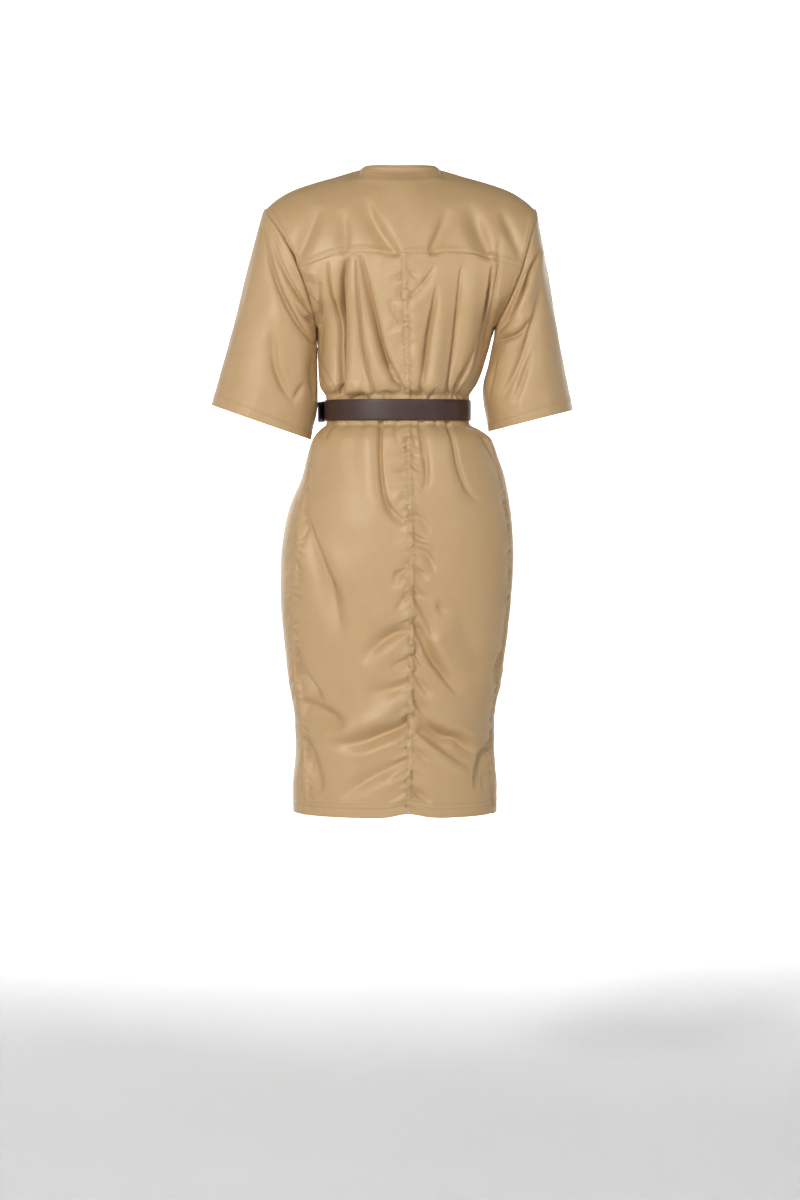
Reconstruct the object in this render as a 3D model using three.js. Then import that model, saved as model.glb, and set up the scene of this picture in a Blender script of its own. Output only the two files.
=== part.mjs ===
// A belted shirt dress in its worn, hollow form. Millimetres, +Z up, the front faces -Y.
// The origin is on the shoulder line at the middle of the neck, and +X is the wearer's left.
import * as THREE from "three";
import { mergeVertices } from "three/addons/utils/BufferGeometryUtils.js";

// Cloth and seams
const CLOTH = 1.6;
const SEAM_GAP = 0.3;
const SEAM_SET_BACK = 0.5;
const BODY_SQUARENESS = 2.25;
const FOLD_SIDE_FADE = 0.7;
const QUARTER = Math.PI / 2;
const DEGREE = Math.PI / 180;
const NEARLY_ZERO = 1e-6;
const WELD_DISTANCE = 1e-4;

// Shoulders and neck
const SHOULDER_HALF = 215;
const NECK_HALF = 62;
const NECK_BACK_DEPTH = 46;
const NECK_FRONT_DEPTH = 80;
const NECK_SIDE_Z = 5;
const NECK_BACK_Z = -3;
const NECK_FRONT_DROP = 76;
const NECK_SPREAD = 1.6;
const NECK_SOFT_RISE = 0.12;
const NECKBAND_HEIGHT = 12;
const NECKBAND_LEAN = 0.45;
const NECKBAND_CLEAR = 0.9;
const CHEST_BEND = 3;
const CHEST_ROUND = 1.6;
const SHOULDER_FACES_UP = 0.4;

// Levels
const UNDERARM_Z = -245;
const UNDERARM_TO_SHOULDER = 250;
const HEM_Z = -1012;
const BELT_Z = -375;

// Where the centre-back seam runs, a little to the wearer's right of the middle, and how
// far it draws the hem up
const CENTRE_BACK = [
  { z: -120, x: -6 },
  { z: -375, x: -13 },
  { z: -452, x: -15 },
  { z: -700, x: -19 },
  { z: -1012, x: -13 },
];
const CENTRE_BACK_LIFT = 7;
const CENTRE_BACK_LIFT_WIDTH = 26;
const CENTRE_BACK_LIFT_FROM_Z = -845;

// Height of the shoulder seam above the origin, from the neck out to the padded corner
const SHOULDER_LINE = [
  { x: 62, z: 5 },
  { x: 90, z: 0 },
  { x: 127, z: -11 },
  { x: 170, z: -27 },
  { x: 196, z: -43 },
  { x: 215, z: -60 },
];

// One section of the body below the underarm in each row, from the underarm to the hem:
// half widths to the wearer's left and right, depths to the back and front, and the
// angles of the side seams, from 0 at the centre back to 90 at the side.
const BODY = [
  { z: -245, left: 131, right: 149, back: 101, front: 112, seamLeft: 90, seamRight: 90 },
  { z: -270, left: 129.5, right: 142, back: 101, front: 111, seamLeft: 88, seamRight: 88 },
  { z: -295, left: 128.5, right: 135, back: 102, front: 109, seamLeft: 86, seamRight: 86 },
  { z: -318, left: 128, right: 128, back: 105, front: 107, seamLeft: 85, seamRight: 85 },
  { z: -334, left: 127, right: 121, back: 106, front: 104, seamLeft: 84, seamRight: 84 },
  { z: -345, left: 122, right: 113, back: 101, front: 98, seamLeft: 83, seamRight: 83 },
  { z: -353, left: 116.5, right: 109.5, back: 90, front: 90, seamLeft: 82, seamRight: 82 },
  { z: -375, left: 116.5, right: 109.5, back: 90, front: 90, seamLeft: 81, seamRight: 81 },
  { z: -397, left: 116.5, right: 109.5, back: 90, front: 90, seamLeft: 80, seamRight: 80 },
  { z: -406, left: 127, right: 126, back: 100, front: 96, seamLeft: 79, seamRight: 79 },
  { z: -421, left: 139, right: 145, back: 109, front: 103, seamLeft: 77, seamRight: 78 },
  { z: -452, left: 149, right: 157, back: 115, front: 107, seamLeft: 73, seamRight: 77 },
  { z: -485, left: 158, right: 167, back: 120, front: 110, seamLeft: 68.5, seamRight: 76 },
  { z: -517, left: 172, right: 173, back: 124, front: 112, seamLeft: 64, seamRight: 76 },
  { z: -565, left: 184, right: 179, back: 127, front: 113, seamLeft: 61, seamRight: 76 },
  { z: -612, left: 189, right: 181, back: 127, front: 113, seamLeft: 61.5, seamRight: 76 },
  { z: -676, left: 191, right: 177, back: 124, front: 111, seamLeft: 62.5, seamRight: 77 },
  { z: -740, left: 186, right: 170, back: 118, front: 109, seamLeft: 65.5, seamRight: 78 },
  { z: -803, left: 178, right: 161, back: 113, front: 107, seamLeft: 69, seamRight: 79 },
  { z: -867, left: 169, right: 150, back: 110, front: 105, seamLeft: 68, seamRight: 79 },
  { z: -914, left: 168, right: 151, back: 109, front: 105, seamLeft: 66, seamRight: 78 },
  { z: -970, left: 172, right: 155, back: 110, front: 106, seamLeft: 63, seamRight: 75 },
  { z: -1012, left: 171, right: 154, back: 110, front: 106, seamLeft: 62, seamRight: 74 },
];

// How far the edge of each armhole bows in towards the neck, as a share of its slant
const ARMHOLE = {
  left: { lowX: 131, bowBack: 0.17, bowFront: 0.12, back: 62, front: 60 },
  right: { lowX: 149, bowBack: -0.13, bowFront: 0.08, back: 62, front: 60 },
};

// Share of the height from underarm to shoulder at which the yoke seam crosses a column
const YOKE_SEAM = [
  { share: 0, rise: 0.45 },
  { share: 0.2, rise: 0.452 },
  { share: 0.42, rise: 0.465 },
  { share: 0.62, rise: 0.482 },
  { share: 0.8, rise: 0.473 },
  { share: 1, rise: 0.474 },
];

// One ring of a sleeve in each row, from the armhole to the hem: the outer and inner
// ends of the ring as seen from the back, and its reach to the back and front.
const SLEEVE_LEFT = [
  { along: 0, outerX: 215.4, outerZ: -60, innerX: 133.6, innerZ: -245, back: 62, front: 60 },
  { along: 0.33, outerX: 242, outerZ: -162, innerX: 133, innerZ: -303, back: 66, front: 64 },
  { along: 0.66, outerX: 269, outerZ: -263, innerX: 132.5, innerZ: -362, back: 64, front: 62 },
  { along: 1, outerX: 297, outerZ: -367, innerX: 142.5, innerZ: -421, back: 62, front: 60 },
];
const SLEEVE_RIGHT = [
  { along: 0, outerX: 215.4, outerZ: -60, innerX: 151.6, innerZ: -245, back: 62, front: 60 },
  { along: 0.33, outerX: 233, outerZ: -164, innerX: 143, innerZ: -296, back: 67, front: 65 },
  { along: 0.66, outerX: 252, outerZ: -269, innerX: 132, innerZ: -344, back: 69, front: 67 },
  { along: 1, outerX: 271.5, outerZ: -375, innerX: 143, innerZ: -408, back: 69, front: 67 },
];
const SLEEVE_STEPS_ROUND = 28;
const SLEEVE_STEPS_ALONG = 10;

// Folds: each runs straight from one place to another as seen from its own side.
// The width is the reach of the fold to either side. A negative depth is a trough.
const BACK_FOLDS = [
  { fromX: 111, fromZ: -165, toX: 93, toZ: -342, width: 10, depth: -6 },
  { fromX: 91, fromZ: -140, toX: 90, toZ: -344, width: 9, depth: -7 },
  { fromX: 75, fromZ: -130, toX: 77, toZ: -336, width: 13, depth: 7 },
  { fromX: 62, fromZ: -143, toX: 36, toZ: -344, width: 10, depth: -6 },
  { fromX: 42, fromZ: -205, toX: -3, toZ: -344, width: 12, depth: -8 },
  { fromX: 22, fromZ: -150, toX: 15, toZ: -320, width: 13, depth: 4 },
  { fromX: -57, fromZ: -175, toX: -31, toZ: -344, width: 11, depth: -6 },
  { fromX: -75, fromZ: -132, toX: -52, toZ: -336, width: 13, depth: 7 },
  { fromX: -96, fromZ: -140, toX: -74, toZ: -344, width: 10, depth: -6 },
  { fromX: -119, fromZ: -129, toX: -92, toZ: -334, width: 12, depth: 6 },
  { fromX: -146, fromZ: -160, toX: -98, toZ: -342, width: 11, depth: -8 },
  { fromX: 29, fromZ: -404, toX: 25, toZ: -520, width: 11, depth: -6 },
  { fromX: 43, fromZ: -406, toX: 42, toZ: -505, width: 13, depth: 4 },
  { fromX: 93, fromZ: -404, toX: 107, toZ: -490, width: 14, depth: 4 },
  { fromX: -33, fromZ: -404, toX: -40, toZ: -490, width: 11, depth: -6 },
  { fromX: -73, fromZ: -404, toX: -100, toZ: -500, width: 12, depth: -6 },
  { fromX: 146, fromZ: -545, toX: 100, toZ: -670, width: 15, depth: -5 },
  { fromX: -23, fromZ: -706, toX: -91, toZ: -820, width: 17, depth: -7 },
  { fromX: -12, fromZ: -719, toX: 47, toZ: -751, width: 15, depth: -5 },
  { fromX: 160, fromZ: -745, toX: 118, toZ: -827, width: 15, depth: -7 },
  { fromX: 160, fromZ: -832, toX: 87, toZ: -866, width: 14, depth: -6 },
  { fromX: -12, fromZ: -860, toX: 95, toZ: -894, width: 16, depth: -7 },
  { fromX: -24, fromZ: -858, toX: -112, toZ: -904, width: 16, depth: -7 },
  { fromX: -11, fromZ: -918, toX: 90, toZ: -975, width: 15, depth: -4 },
  { fromX: 150, fromZ: -875, toX: 129, toZ: -975, width: 11, depth: -4 },
  { fromX: -146, fromZ: -862, toX: -121, toZ: -935, width: 10, depth: -5 },
];
const FRONT_FOLDS = [
  { fromX: 84, fromZ: -190, toX: 66, toZ: -342, width: 15, depth: -6 },
  { fromX: 48, fromZ: -230, toX: 40, toZ: -342, width: 14, depth: -5 },
  { fromX: -82, fromZ: -180, toX: -62, toZ: -342, width: 15, depth: -6 },
  { fromX: -50, fromZ: -240, toX: -38, toZ: -342, width: 14, depth: -5 },
  { fromX: 60, fromZ: -404, toX: 72, toZ: -520, width: 15, depth: -6 },
  { fromX: -56, fromZ: -404, toX: -76, toZ: -530, width: 15, depth: -6 },
  { fromX: 150, fromZ: -770, toX: 60, toZ: -840, width: 20, depth: -6 },
  { fromX: -135, fromZ: -790, toX: -50, toZ: -850, width: 20, depth: -6 },
  { fromX: 150, fromZ: -880, toX: 70, toZ: -920, width: 18, depth: -5 },
  { fromX: -130, fromZ: -900, toX: -56, toZ: -945, width: 18, depth: -5 },
];
const SLEEVE_FOLDS = [
  { fromX: 206, fromZ: -110, toX: 176, toZ: -236, width: 13, depth: -6 },
  { fromX: 222, fromZ: -120, toX: 204, toZ: -290, width: 15, depth: 5 },
  { fromX: 196, fromZ: -290, toX: 214, toZ: -400, width: 17, depth: -5 },
  { fromX: 240, fromZ: -220, toX: 262, toZ: -366, width: 17, depth: -4 },
];

// Panel grids
const STEPS_CENTRE_TO_NECK = 4;
const STEPS_NECK_TO_SIDE_BACK = 13;
const STEPS_NECK_TO_SIDE_FRONT = 6;
const STEPS_UP_TO_YOKE = 6;
const STEPS_YOKE = 6;
const STEPS_UP_FRONT = 10;
const WIDEST_ROW = 40;

// Placket and buttons
const PLACKET_WIDTH = 32;
const PLACKET_TOP_LEVEL = 0.93;
const PLACKET_LIFT = 0.9;
const PLACKET_COLUMNS = [-0.5, -0.17, 0.17, 0.5];
const BUTTON_RADIUS = 5.75;
const BUTTON_THICKNESS = 2.4;
const BUTTON_SIDES = 10;
const BUTTON_PROFILE = [
  { radius: 0, height: -1.2 },
  { radius: 4.95, height: -1.2 },
  { radius: 5.75, height: 0 },
  { radius: 5.15, height: 1.2 },
  { radius: 3.95, height: 0.5 },
  { radius: 0, height: 0.5 },
];
const BUTTON_SEAT_GAP = 0.5;
const BUTTON_TOP_Z = -92;
const BUTTON_PITCH = 80;
const BUTTONS_ABOVE_BELT = 4;
const BUTTON_BELOW_BELT_Z = -436;
const BUTTONS_BELOW_BELT = 6;

// Belt: a leather strap that starts at the buckle, goes once round and lies over itself
const BELT_HEIGHT = 33;
const BELT_THICKNESS = 3;
const BELT_CLEARANCE = 0.5;
const BELT_FLAT_MARGIN = 3;
const BELT_FLAT_FADE = 12;
const BELT_START = 6.6;
const BELT_END = 452;
const BELT_STEPS = 80;
const BELT_LIFT_AT_PLACKET = 2.6;
const BELT_LIFT_FULL_TO = 22;
const BELT_LIFT_NONE_FROM = 44;
const BELT_CROSS_FROM = 349;
const BELT_CROSS_TO = 361;
const BELT_SPRING_FROM = 425;
const BELT_SPRING = 7;
const BELT_TIP_DROP = 2.5;

// Buckle and keeper
const METAL = 3;
const BUCKLE_WIDTH = 44;
const BUCKLE_HEIGHT = 42;
const BUCKLE_BAR = 3.6;
const BUCKLE_CORNER = 6;
const BUCKLE_X = -6;
const BUCKLE_SINK = 0.55;
const BUCKLE_TILT = 3.2;
const PRONG_RADIUS = 1.4;
const PRONG_STEPS = 10;
const PRONG_PATH = [
  { x: 6, y: -4.6 },
  { x: 0, y: -4.6 },
  { x: -12, y: -4.2 },
  { x: -24, y: -3.9 },
  { x: -30, y: -3.6 },
];
const KEEPER_TURN = 17.4;
const KEEPER_WIDTH = 9;
const KEEPER_WALL = 1.5;
const KEEPER_ROOM = 1;
const KEEPER_CORNER = 2;

// Finishes: colour, roughness and metalness of each material
const FINISH = {
  cloth: { color: 0xcdae83, roughness: 0.8, metalness: 0 },
  trim: { color: 0xc7a67c, roughness: 0.8, metalness: 0 },
  leather: { color: 0x31241f, roughness: 0.45, metalness: 0 },
  horn: { color: 0x7a5a3a, roughness: 0.35, metalness: 0 },
  brass: { color: 0xb08d4f, roughness: 0.3, metalness: 1 },
};

const mix = (a, b, share) => a + (b - a) * share;
const clamp = (value) => Math.min(1, Math.max(0, value));
const smooth = (value) => clamp(value) * clamp(value) * (3 - 2 * clamp(value));

// Slope at a row of a table that keeps the curve from overshooting
function gentleSlope(before, after) {
  return before * after > 0 ? (2 * before * after) / (before + after) : 0;
}

// A column of a table at a place along another column, on a smooth curve through the rows
function lookUp(rows, along, column, place) {
  const last = rows.length - 1;
  const up = Math.sign(rows[last][along] - rows[0][along]);
  if (up * (place - rows[0][along]) <= 0) return rows[0][column];
  if (up * (place - rows[last][along]) >= 0) return rows[last][column];
  let k = 0;
  while (up * (place - rows[k + 1][along]) > 0) k += 1;
  const slope = (i) =>
    (rows[i + 1][column] - rows[i][column]) / (rows[i + 1][along] - rows[i][along]);
  const before = k > 0 ? slope(k - 1) : slope(k);
  const after = k < last - 1 ? slope(k + 1) : slope(k);
  const span = rows[k + 1][along] - rows[k][along];
  const s = (place - rows[k][along]) / span;
  const startSlope = gentleSlope(before, slope(k)) * span;
  const endSlope = gentleSlope(slope(k), after) * span;
  const a = rows[k][column];
  const b = rows[k + 1][column];
  const rise = s * s * (3 - 2 * s);
  return a + (b - a) * rise + startSlope * s * (1 - s) * (1 - s) - endSlope * s * s * (1 - s);
}

// How far the folds of a table move the cloth out at a place seen from their side
function foldShift(folds, x, z) {
  let shift = 0;
  for (const fold of folds) {
    const runX = fold.toX - fold.fromX;
    const runZ = fold.toZ - fold.fromZ;
    const length = Math.hypot(runX, runZ);
    const along = ((x - fold.fromX) * runX + (z - fold.fromZ) * runZ) / (length * length);
    const across = Math.abs((x - fold.fromX) * runZ - (z - fold.fromZ) * runX) / length;
    const ends = smooth((along + 0.12) / 0.3) * smooth((1.12 - along) / 0.3);
    shift += fold.depth * Math.exp(-((across / fold.width) ** 2)) * ends;
  }
  return shift;
}

// Folds lie flat under the belt
function clearOfBelt(z) {
  return smooth((Math.abs(z - BELT_Z) - BELT_HEIGHT / 2 - BELT_FLAT_MARGIN) / BELT_FLAT_FADE);
}

const sideOf = (angle) => (angle < 0 ? "right" : "left");
const isBack = (angle) => Math.abs(angle) <= QUARTER;

// Rounded section: the share of the half width and of the depth at an angle
function sectionShares(angle) {
  const power = 2 / BODY_SQUARENESS;
  const across = Math.sin(Math.abs(angle)) ** power;
  const depth = Math.abs(Math.cos(angle)) ** power;
  return { across, depth };
}

// Height of the upper edge of the body over a place across: the neck or shoulder seam
function topHeight(x, back) {
  if (x >= NECK_HALF) return lookUp(SHOULDER_LINE, "x", "z", x);
  const inside = 1 - (x / NECK_HALF) ** 2;
  if (back) return mix(NECK_SIDE_Z, NECK_BACK_Z, inside);
  return NECK_SIDE_Z - NECK_FRONT_DROP * inside ** 0.75;
}

// Depth that the neck gives the cloth: the neck hole itself at the top, and below it a
// soft rise that widens and fades
function neckDepth(x, back, rise) {
  const below = 1 - rise;
  const reach = NECK_HALF * (1 + NECK_SPREAD * below);
  const inside = Math.max(0, 1 - (x / reach) ** 2);
  const softness = mix(0.5, 2, smooth(below / NECK_SOFT_RISE));
  return (back ? NECK_BACK_DEPTH : NECK_FRONT_DEPTH) * inside ** softness;
}

// How far the centre-back seam draws the cloth up near the hem
function hemLift(x, z) {
  const away = (x - lookUp(CENTRE_BACK, "z", "x", z)) / CENTRE_BACK_LIFT_WIDTH;
  const low = smooth((CENTRE_BACK_LIFT_FROM_Z - z) / (CENTRE_BACK_LIFT_FROM_Z - HEM_Z));
  return CENTRE_BACK_LIFT * Math.exp(-(away ** 2)) * low;
}

// The outer face of the body. The angle goes from 0 at the centre back to 180 degrees at
// the centre front, to the wearer's left, and is negative to the right. The level is in
// millimetres below the underarm, or from 0 at the underarm to 1 at the shoulder.
function bodyPoint(angle, level) {
  const side = sideOf(angle);
  const sign = side === "left" ? 1 : -1;
  const back = isBack(angle);
  const towards = back ? 1 : -1;
  const { across, depth } = sectionShares(angle);
  const point = new THREE.Vector3();
  if (level <= 0) {
    const z = UNDERARM_Z + level;
    const x = sign * lookUp(BODY, "z", side, z) * across;
    point.set(x, towards * lookUp(BODY, "z", back ? "back" : "front", z) * depth, z);
    point.z += back ? hemLift(x, z) : 0;
  } else {
    const rise = (1 - Math.cos(Math.PI * level)) / 2;
    const hole = ARMHOLE[side];
    const bow = (back ? hole.bowBack : hole.bowFront) * 4 * rise * (1 - rise);
    const edgeX = mix(SHOULDER_HALF, hole.lowX, 1 - rise + bow);
    const edgeY = (back ? hole.back : hole.front) * Math.sin(Math.PI * level);
    const topX = SHOULDER_HALF * across;
    const low = BODY[0][back ? "back" : "front"];
    const round = (1 - rise ** CHEST_BEND) ** (1 / CHEST_ROUND);
    const middleY = mix(neckDepth(topX, back, rise), low, round);
    const z = mix(UNDERARM_Z, topHeight(topX, back), rise);
    point.set(sign * edgeX * across, towards * mix(edgeY, middleY, depth), z);
  }
  return point;
}

// The angle at which the body's outer face has a place across
function angleAcross(x, level, back) {
  const sign = x < 0 ? -1 : 1;
  const side = sign * (back ? QUARTER : QUARTER + NEARLY_ZERO);
  const share = Math.max(NEARLY_ZERO, x / bodyPoint(side, level).x);
  const angle = Math.asin(share ** (BODY_SQUARENESS / 2));
  return sign * (back ? angle : 2 * QUARTER - angle);
}

// The direction in which folds lift the cloth off the body
function outward(angle) {
  return new THREE.Vector3(Math.sin(angle), Math.cos(angle), 0);
}

function foldedBodyPoint(angle, level) {
  const point = bodyPoint(angle, level);
  const folds = isBack(angle) ? BACK_FOLDS : FRONT_FOLDS;
  const shift = foldShift(folds, point.x, point.z) * clearOfBelt(point.z);
  const facing = Math.abs(Math.cos(angle)) ** FOLD_SIDE_FADE;
  const low = level < 0.9 ? 1 : 0;
  return point.addScaledVector(outward(angle), shift * facing * low);
}

// A closed mesh from a grid of outer and inner points: two faces and the rims between them
function wallGeometry(outer, inner, closedRound) {
  const rows = outer.length;
  const columns = outer[0].length;
  const positions = [];
  for (const grid of [outer, inner]) {
    for (const row of grid) for (const point of row) positions.push(point.x, point.y, point.z);
  }
  const at = (layer, i, j) => layer * rows * columns + i * columns + (j % columns);
  const index = [];
  const quad = (a, b, c, d) => index.push(a, b, c, a, c, d);
  const across = closedRound ? columns : columns - 1;
  for (let i = 0; i < rows - 1; i += 1) {
    for (let j = 0; j < across; j += 1) {
      quad(at(0, i, j), at(0, i, j + 1), at(0, i + 1, j + 1), at(0, i + 1, j));
      quad(at(1, i, j), at(1, i + 1, j), at(1, i + 1, j + 1), at(1, i, j + 1));
    }
  }
  for (let j = 0; j < across; j += 1) {
    quad(at(0, 0, j), at(1, 0, j), at(1, 0, j + 1), at(0, 0, j + 1));
    const top = rows - 1;
    quad(at(0, top, j), at(0, top, j + 1), at(1, top, j + 1), at(1, top, j));
  }
  if (!closedRound) {
    const end = columns - 1;
    for (let i = 0; i < rows - 1; i += 1) {
      quad(at(0, i, 0), at(0, i + 1, 0), at(1, i + 1, 0), at(1, i, 0));
      quad(at(0, i, end), at(1, i, end), at(1, i + 1, end), at(0, i + 1, end));
    }
  }
  const geometry = new THREE.BufferGeometry();
  geometry.setAttribute("position", new THREE.Float32BufferAttribute(positions, 3));
  geometry.setIndex(index);
  return facingOut(geometry);
}

// Turns the faces of a closed mesh over if they face in
function facingOut(geometry) {
  const position = geometry.getAttribute("position");
  const index = geometry.getIndex();
  const [a, b, c] = [new THREE.Vector3(), new THREE.Vector3(), new THREE.Vector3()];
  let volume = 0;
  for (let i = 0; i < index.count; i += 3) {
    a.fromBufferAttribute(position, index.getX(i));
    b.fromBufferAttribute(position, index.getX(i + 1));
    c.fromBufferAttribute(position, index.getX(i + 2));
    volume += a.dot(b.cross(c));
  }
  if (volume < 0) {
    for (let i = 0; i < index.count; i += 3) {
      const first = index.getX(i);
      index.setX(i, index.getX(i + 1));
      index.setX(i + 1, first);
    }
  }
  geometry.computeVertexNormals();
  return geometry;
}

// Unit normals of a grid of points, pointing to the side that the reference says is out
function gridNormals(grid, closedRound, outAt) {
  const columns = grid[0].length;
  return grid.map((row, i) =>
    row.map((point, j) => {
      const before = closedRound ? (j + columns - 1) % columns : Math.max(0, j - 1);
      const after = closedRound ? (j + 1) % columns : Math.min(columns - 1, j + 1);
      const round = row[after].clone().sub(row[before]);
      const below = grid[Math.max(0, i - 1)][j];
      const above = grid[Math.min(grid.length - 1, i + 1)][j];
      const normal = round.cross(above.clone().sub(below)).normalize();
      return normal.dot(outAt(point, i, j)) < 0 ? normal.negate() : normal;
    }),
  );
}

function offsetGrid(grid, normals, distance) {
  return grid.map((row, i) =>
    row.map((point, j) => point.clone().addScaledVector(normals[i][j], distance)),
  );
}

// The inner face of a wall, whose edges stay back from the seams that they meet
function innerGrid(grid, normals) {
  const inner = offsetGrid(grid, normals, -CLOTH);
  const rows = grid.length - 1;
  const columns = grid[0].length - 1;
  const setBack = (i, j, fromI, fromJ) => {
    const inwards = grid[fromI][fromJ].clone().sub(grid[i][j]).normalize();
    inner[i][j].addScaledVector(inwards, SEAM_SET_BACK);
  };
  for (let i = 0; i <= rows; i += 1) {
    setBack(i, 0, i, 1);
    setBack(i, columns, i, columns - 1);
  }
  for (let j = 0; j <= columns; j += 1) {
    setBack(0, j, 1, j);
    setBack(rows, j, rows - 1, j);
  }
  return inner;
}

// A cloth wall whose outer face is the grid
function clothWall(grid, outAt) {
  const normals = gridNormals(grid, false, outAt);
  return wallGeometry(grid, innerGrid(grid, normals), false);
}

// The same for a piece whose last row lies along the shoulder seam, where the rim is upright
function shoulderWall(grid, outAt) {
  const normals = gridNormals(grid, false, outAt);
  grid[grid.length - 1].forEach((point, j) => {
    if (Math.abs(point.x) > NECK_HALF - 1) normals[grid.length - 1][j].setY(0).normalize();
  });
  return wallGeometry(grid, innerGrid(grid, normals), false);
}

// Levels of the rows below the underarm: the table's own sections, and one between wide ones
function lowerLevels() {
  const levels = [];
  for (let i = BODY.length - 1; i > 0; i -= 1) {
    const low = BODY[i].z - UNDERARM_Z;
    const high = BODY[i - 1].z - UNDERARM_Z;
    levels.push(low);
    if (high - low > WIDEST_ROW) levels.push((low + high) / 2);
  }
  levels.push(0);
  return levels;
}

// Angle of the column that meets the upper edge at a place across
const angleUnder = (x) => Math.asin((x / SHOULDER_HALF) ** (BODY_SQUARENESS / 2));

// Angles of the columns from the centre to the end of the neck, evenly round the neck
function neckAngles() {
  const angles = [];
  for (let j = 0; j <= STEPS_CENTRE_TO_NECK; j += 1) {
    angles.push(angleUnder(NECK_HALF * Math.sin((QUARTER * j) / STEPS_CENTRE_TO_NECK)));
  }
  return angles;
}

// Angles of the columns from the centre to the side, with one at the end of the neck
function columnAngles(stepsToSide) {
  const angles = neckAngles();
  const neckEnd = angles[angles.length - 1];
  for (let j = 1; j <= stepsToSide; j += 1) angles.push(mix(neckEnd, QUARTER, j / stepsToSide));
  return angles;
}

// Level at which the yoke seam crosses a column
function yokeSeamLevel(angle) {
  const { across } = sectionShares(angle);
  const rise = lookUp(YOKE_SEAM, "share", "rise", across);
  return Math.acos(1 - 2 * rise) / Math.PI;
}

// Half a seam's gap as an angle on the body, and as a share of the height above the underarm
const seamAngle = (radius) => SEAM_GAP / 2 / radius;
const SEAM_LEVEL = SEAM_GAP / 2 / UNDERARM_TO_SHOULDER;

function sideSeam(level, sign) {
  const column = sign > 0 ? "seamLeft" : "seamRight";
  return lookUp(BODY, "z", column, UNDERARM_Z + Math.min(0, level)) * DEGREE;
}

const bodyOutAt = (angles) => (point, i, j) => outward(angles[i][j]);

// The centre-back seam as an angle at a level
function centreSeam(level) {
  const x = lookUp(CENTRE_BACK, "z", "x", bodyPoint(0, level).z);
  return angleAcross(x, level, true);
}

function backPanel(sign) {
  const angles = [];
  const grid = [];
  const columns = columnAngles(STEPS_NECK_TO_SIDE_BACK);
  const addRow = (levelAt, spread) => {
    const inner = sign * centreSeam(levelAt(0)) + seamAngle(BODY[0].back);
    const outer = spread - seamAngle(BODY[0].left);
    const row = columns.map((column) => sign * mix(inner, outer, column / QUARTER));
    angles.push(row);
    grid.push(row.map((angle) => foldedBodyPoint(angle, levelAt(Math.abs(angle)))));
  };
  for (const level of lowerLevels()) addRow(() => level, sideSeam(level, sign));
  for (let i = 1; i <= STEPS_UP_TO_YOKE; i += 1) {
    const share = i / STEPS_UP_TO_YOKE;
    const gap = i === STEPS_UP_TO_YOKE ? SEAM_LEVEL : 0;
    addRow((angle) => yokeSeamLevel(angle) * share - gap, QUARTER);
  }
  return clothWall(grid, bodyOutAt(angles));
}

function frontPanel(sign) {
  const angles = [];
  const grid = [];
  const columns = columnAngles(STEPS_NECK_TO_SIDE_FRONT);
  const addRow = (level, spread) => {
    const row = columns.map((column) => {
      const inner = seamAngle(BODY[0].front);
      const outer = 2 * QUARTER - spread - seamAngle(BODY[0].left);
      return sign * (2 * QUARTER - mix(inner, outer, column / QUARTER));
    });
    angles.push(row);
    grid.push(row.map((angle) => foldedBodyPoint(angle, level)));
  };
  for (const level of lowerLevels()) addRow(level, sideSeam(level, sign));
  for (let i = 1; i <= STEPS_UP_FRONT; i += 1) addRow(i / STEPS_UP_FRONT, QUARTER);
  for (const point of grid[grid.length - 1]) point.y -= SEAM_GAP / 2;
  return shoulderWall(grid, bodyOutAt(angles));
}

function backYoke() {
  const half = columnAngles(STEPS_NECK_TO_SIDE_BACK);
  const row = [...half.slice(1).reverse().map((angle) => -angle), ...half];
  const angles = [];
  const grid = [];
  for (let i = 0; i <= STEPS_YOKE; i += 1) {
    const levelAt = (angle) => mix(yokeSeamLevel(angle) + SEAM_LEVEL, 1, i / STEPS_YOKE);
    angles.push(row);
    grid.push(row.map((angle) => foldedBodyPoint(angle, levelAt(angle))));
  }
  for (const point of grid[grid.length - 1]) point.y += SEAM_GAP / 2;
  return shoulderWall(grid, (point, i, j) => outward(angles[i][j]).setZ(SHOULDER_FACES_UP));
}

// The neckband stands on the neck seam, all round from one edge of the front to the other
function neckband() {
  const quarter = neckAngles();
  const toBack = quarter.slice(0, -1).reverse();
  const round = [];
  const opening = seamAngle(NECK_FRONT_DEPTH);
  for (const angle of quarter) round.push(2 * QUARTER - angle - opening);
  for (const angle of toBack) round.push(angle);
  const mirrored = round.slice(0, -1).reverse().map((angle) => -angle);
  const grid = [0, 0.5, 1].map((share) =>
    [...round, ...mirrored].map((angle) => {
      const foot = bodyPoint(angle, 1);
      const inwards = new THREE.Vector3(-foot.x, -foot.y, 0).normalize();
      const up = inwards.multiplyScalar(NECKBAND_LEAN).setZ(1).normalize();
      return foot.addScaledVector(up, NECKBAND_CLEAR + NECKBAND_HEIGHT * share);
    }),
  );
  return clothWall(grid, (point) => new THREE.Vector3(point.x, point.y, 0));
}

// Points of the placket lie on the front, moved out
function placketPoint(x, level, lift) {
  const point = bodyPoint(angleAcross(x, level, false), level);
  point.y -= lift;
  return point;
}

function frontPlacket() {
  const levels = lowerLevels();
  for (let i = 1; i < STEPS_UP_FRONT; i += 1) levels.push(i / STEPS_UP_FRONT);
  levels.push(PLACKET_TOP_LEVEL);
  const layer = (lift) =>
    levels.map((level) =>
      PLACKET_COLUMNS.map((share) => placketPoint(share * PLACKET_WIDTH, level, lift)),
    );
  return wallGeometry(layer(PLACKET_LIFT + CLOTH), layer(PLACKET_LIFT), false);
}

function buttonGeometry() {
  const points = BUTTON_PROFILE.map(({ radius, height }) => new THREE.Vector2(radius, height));
  return weld(new THREE.LatheGeometry(points, BUTTON_SIDES));
}

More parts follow.
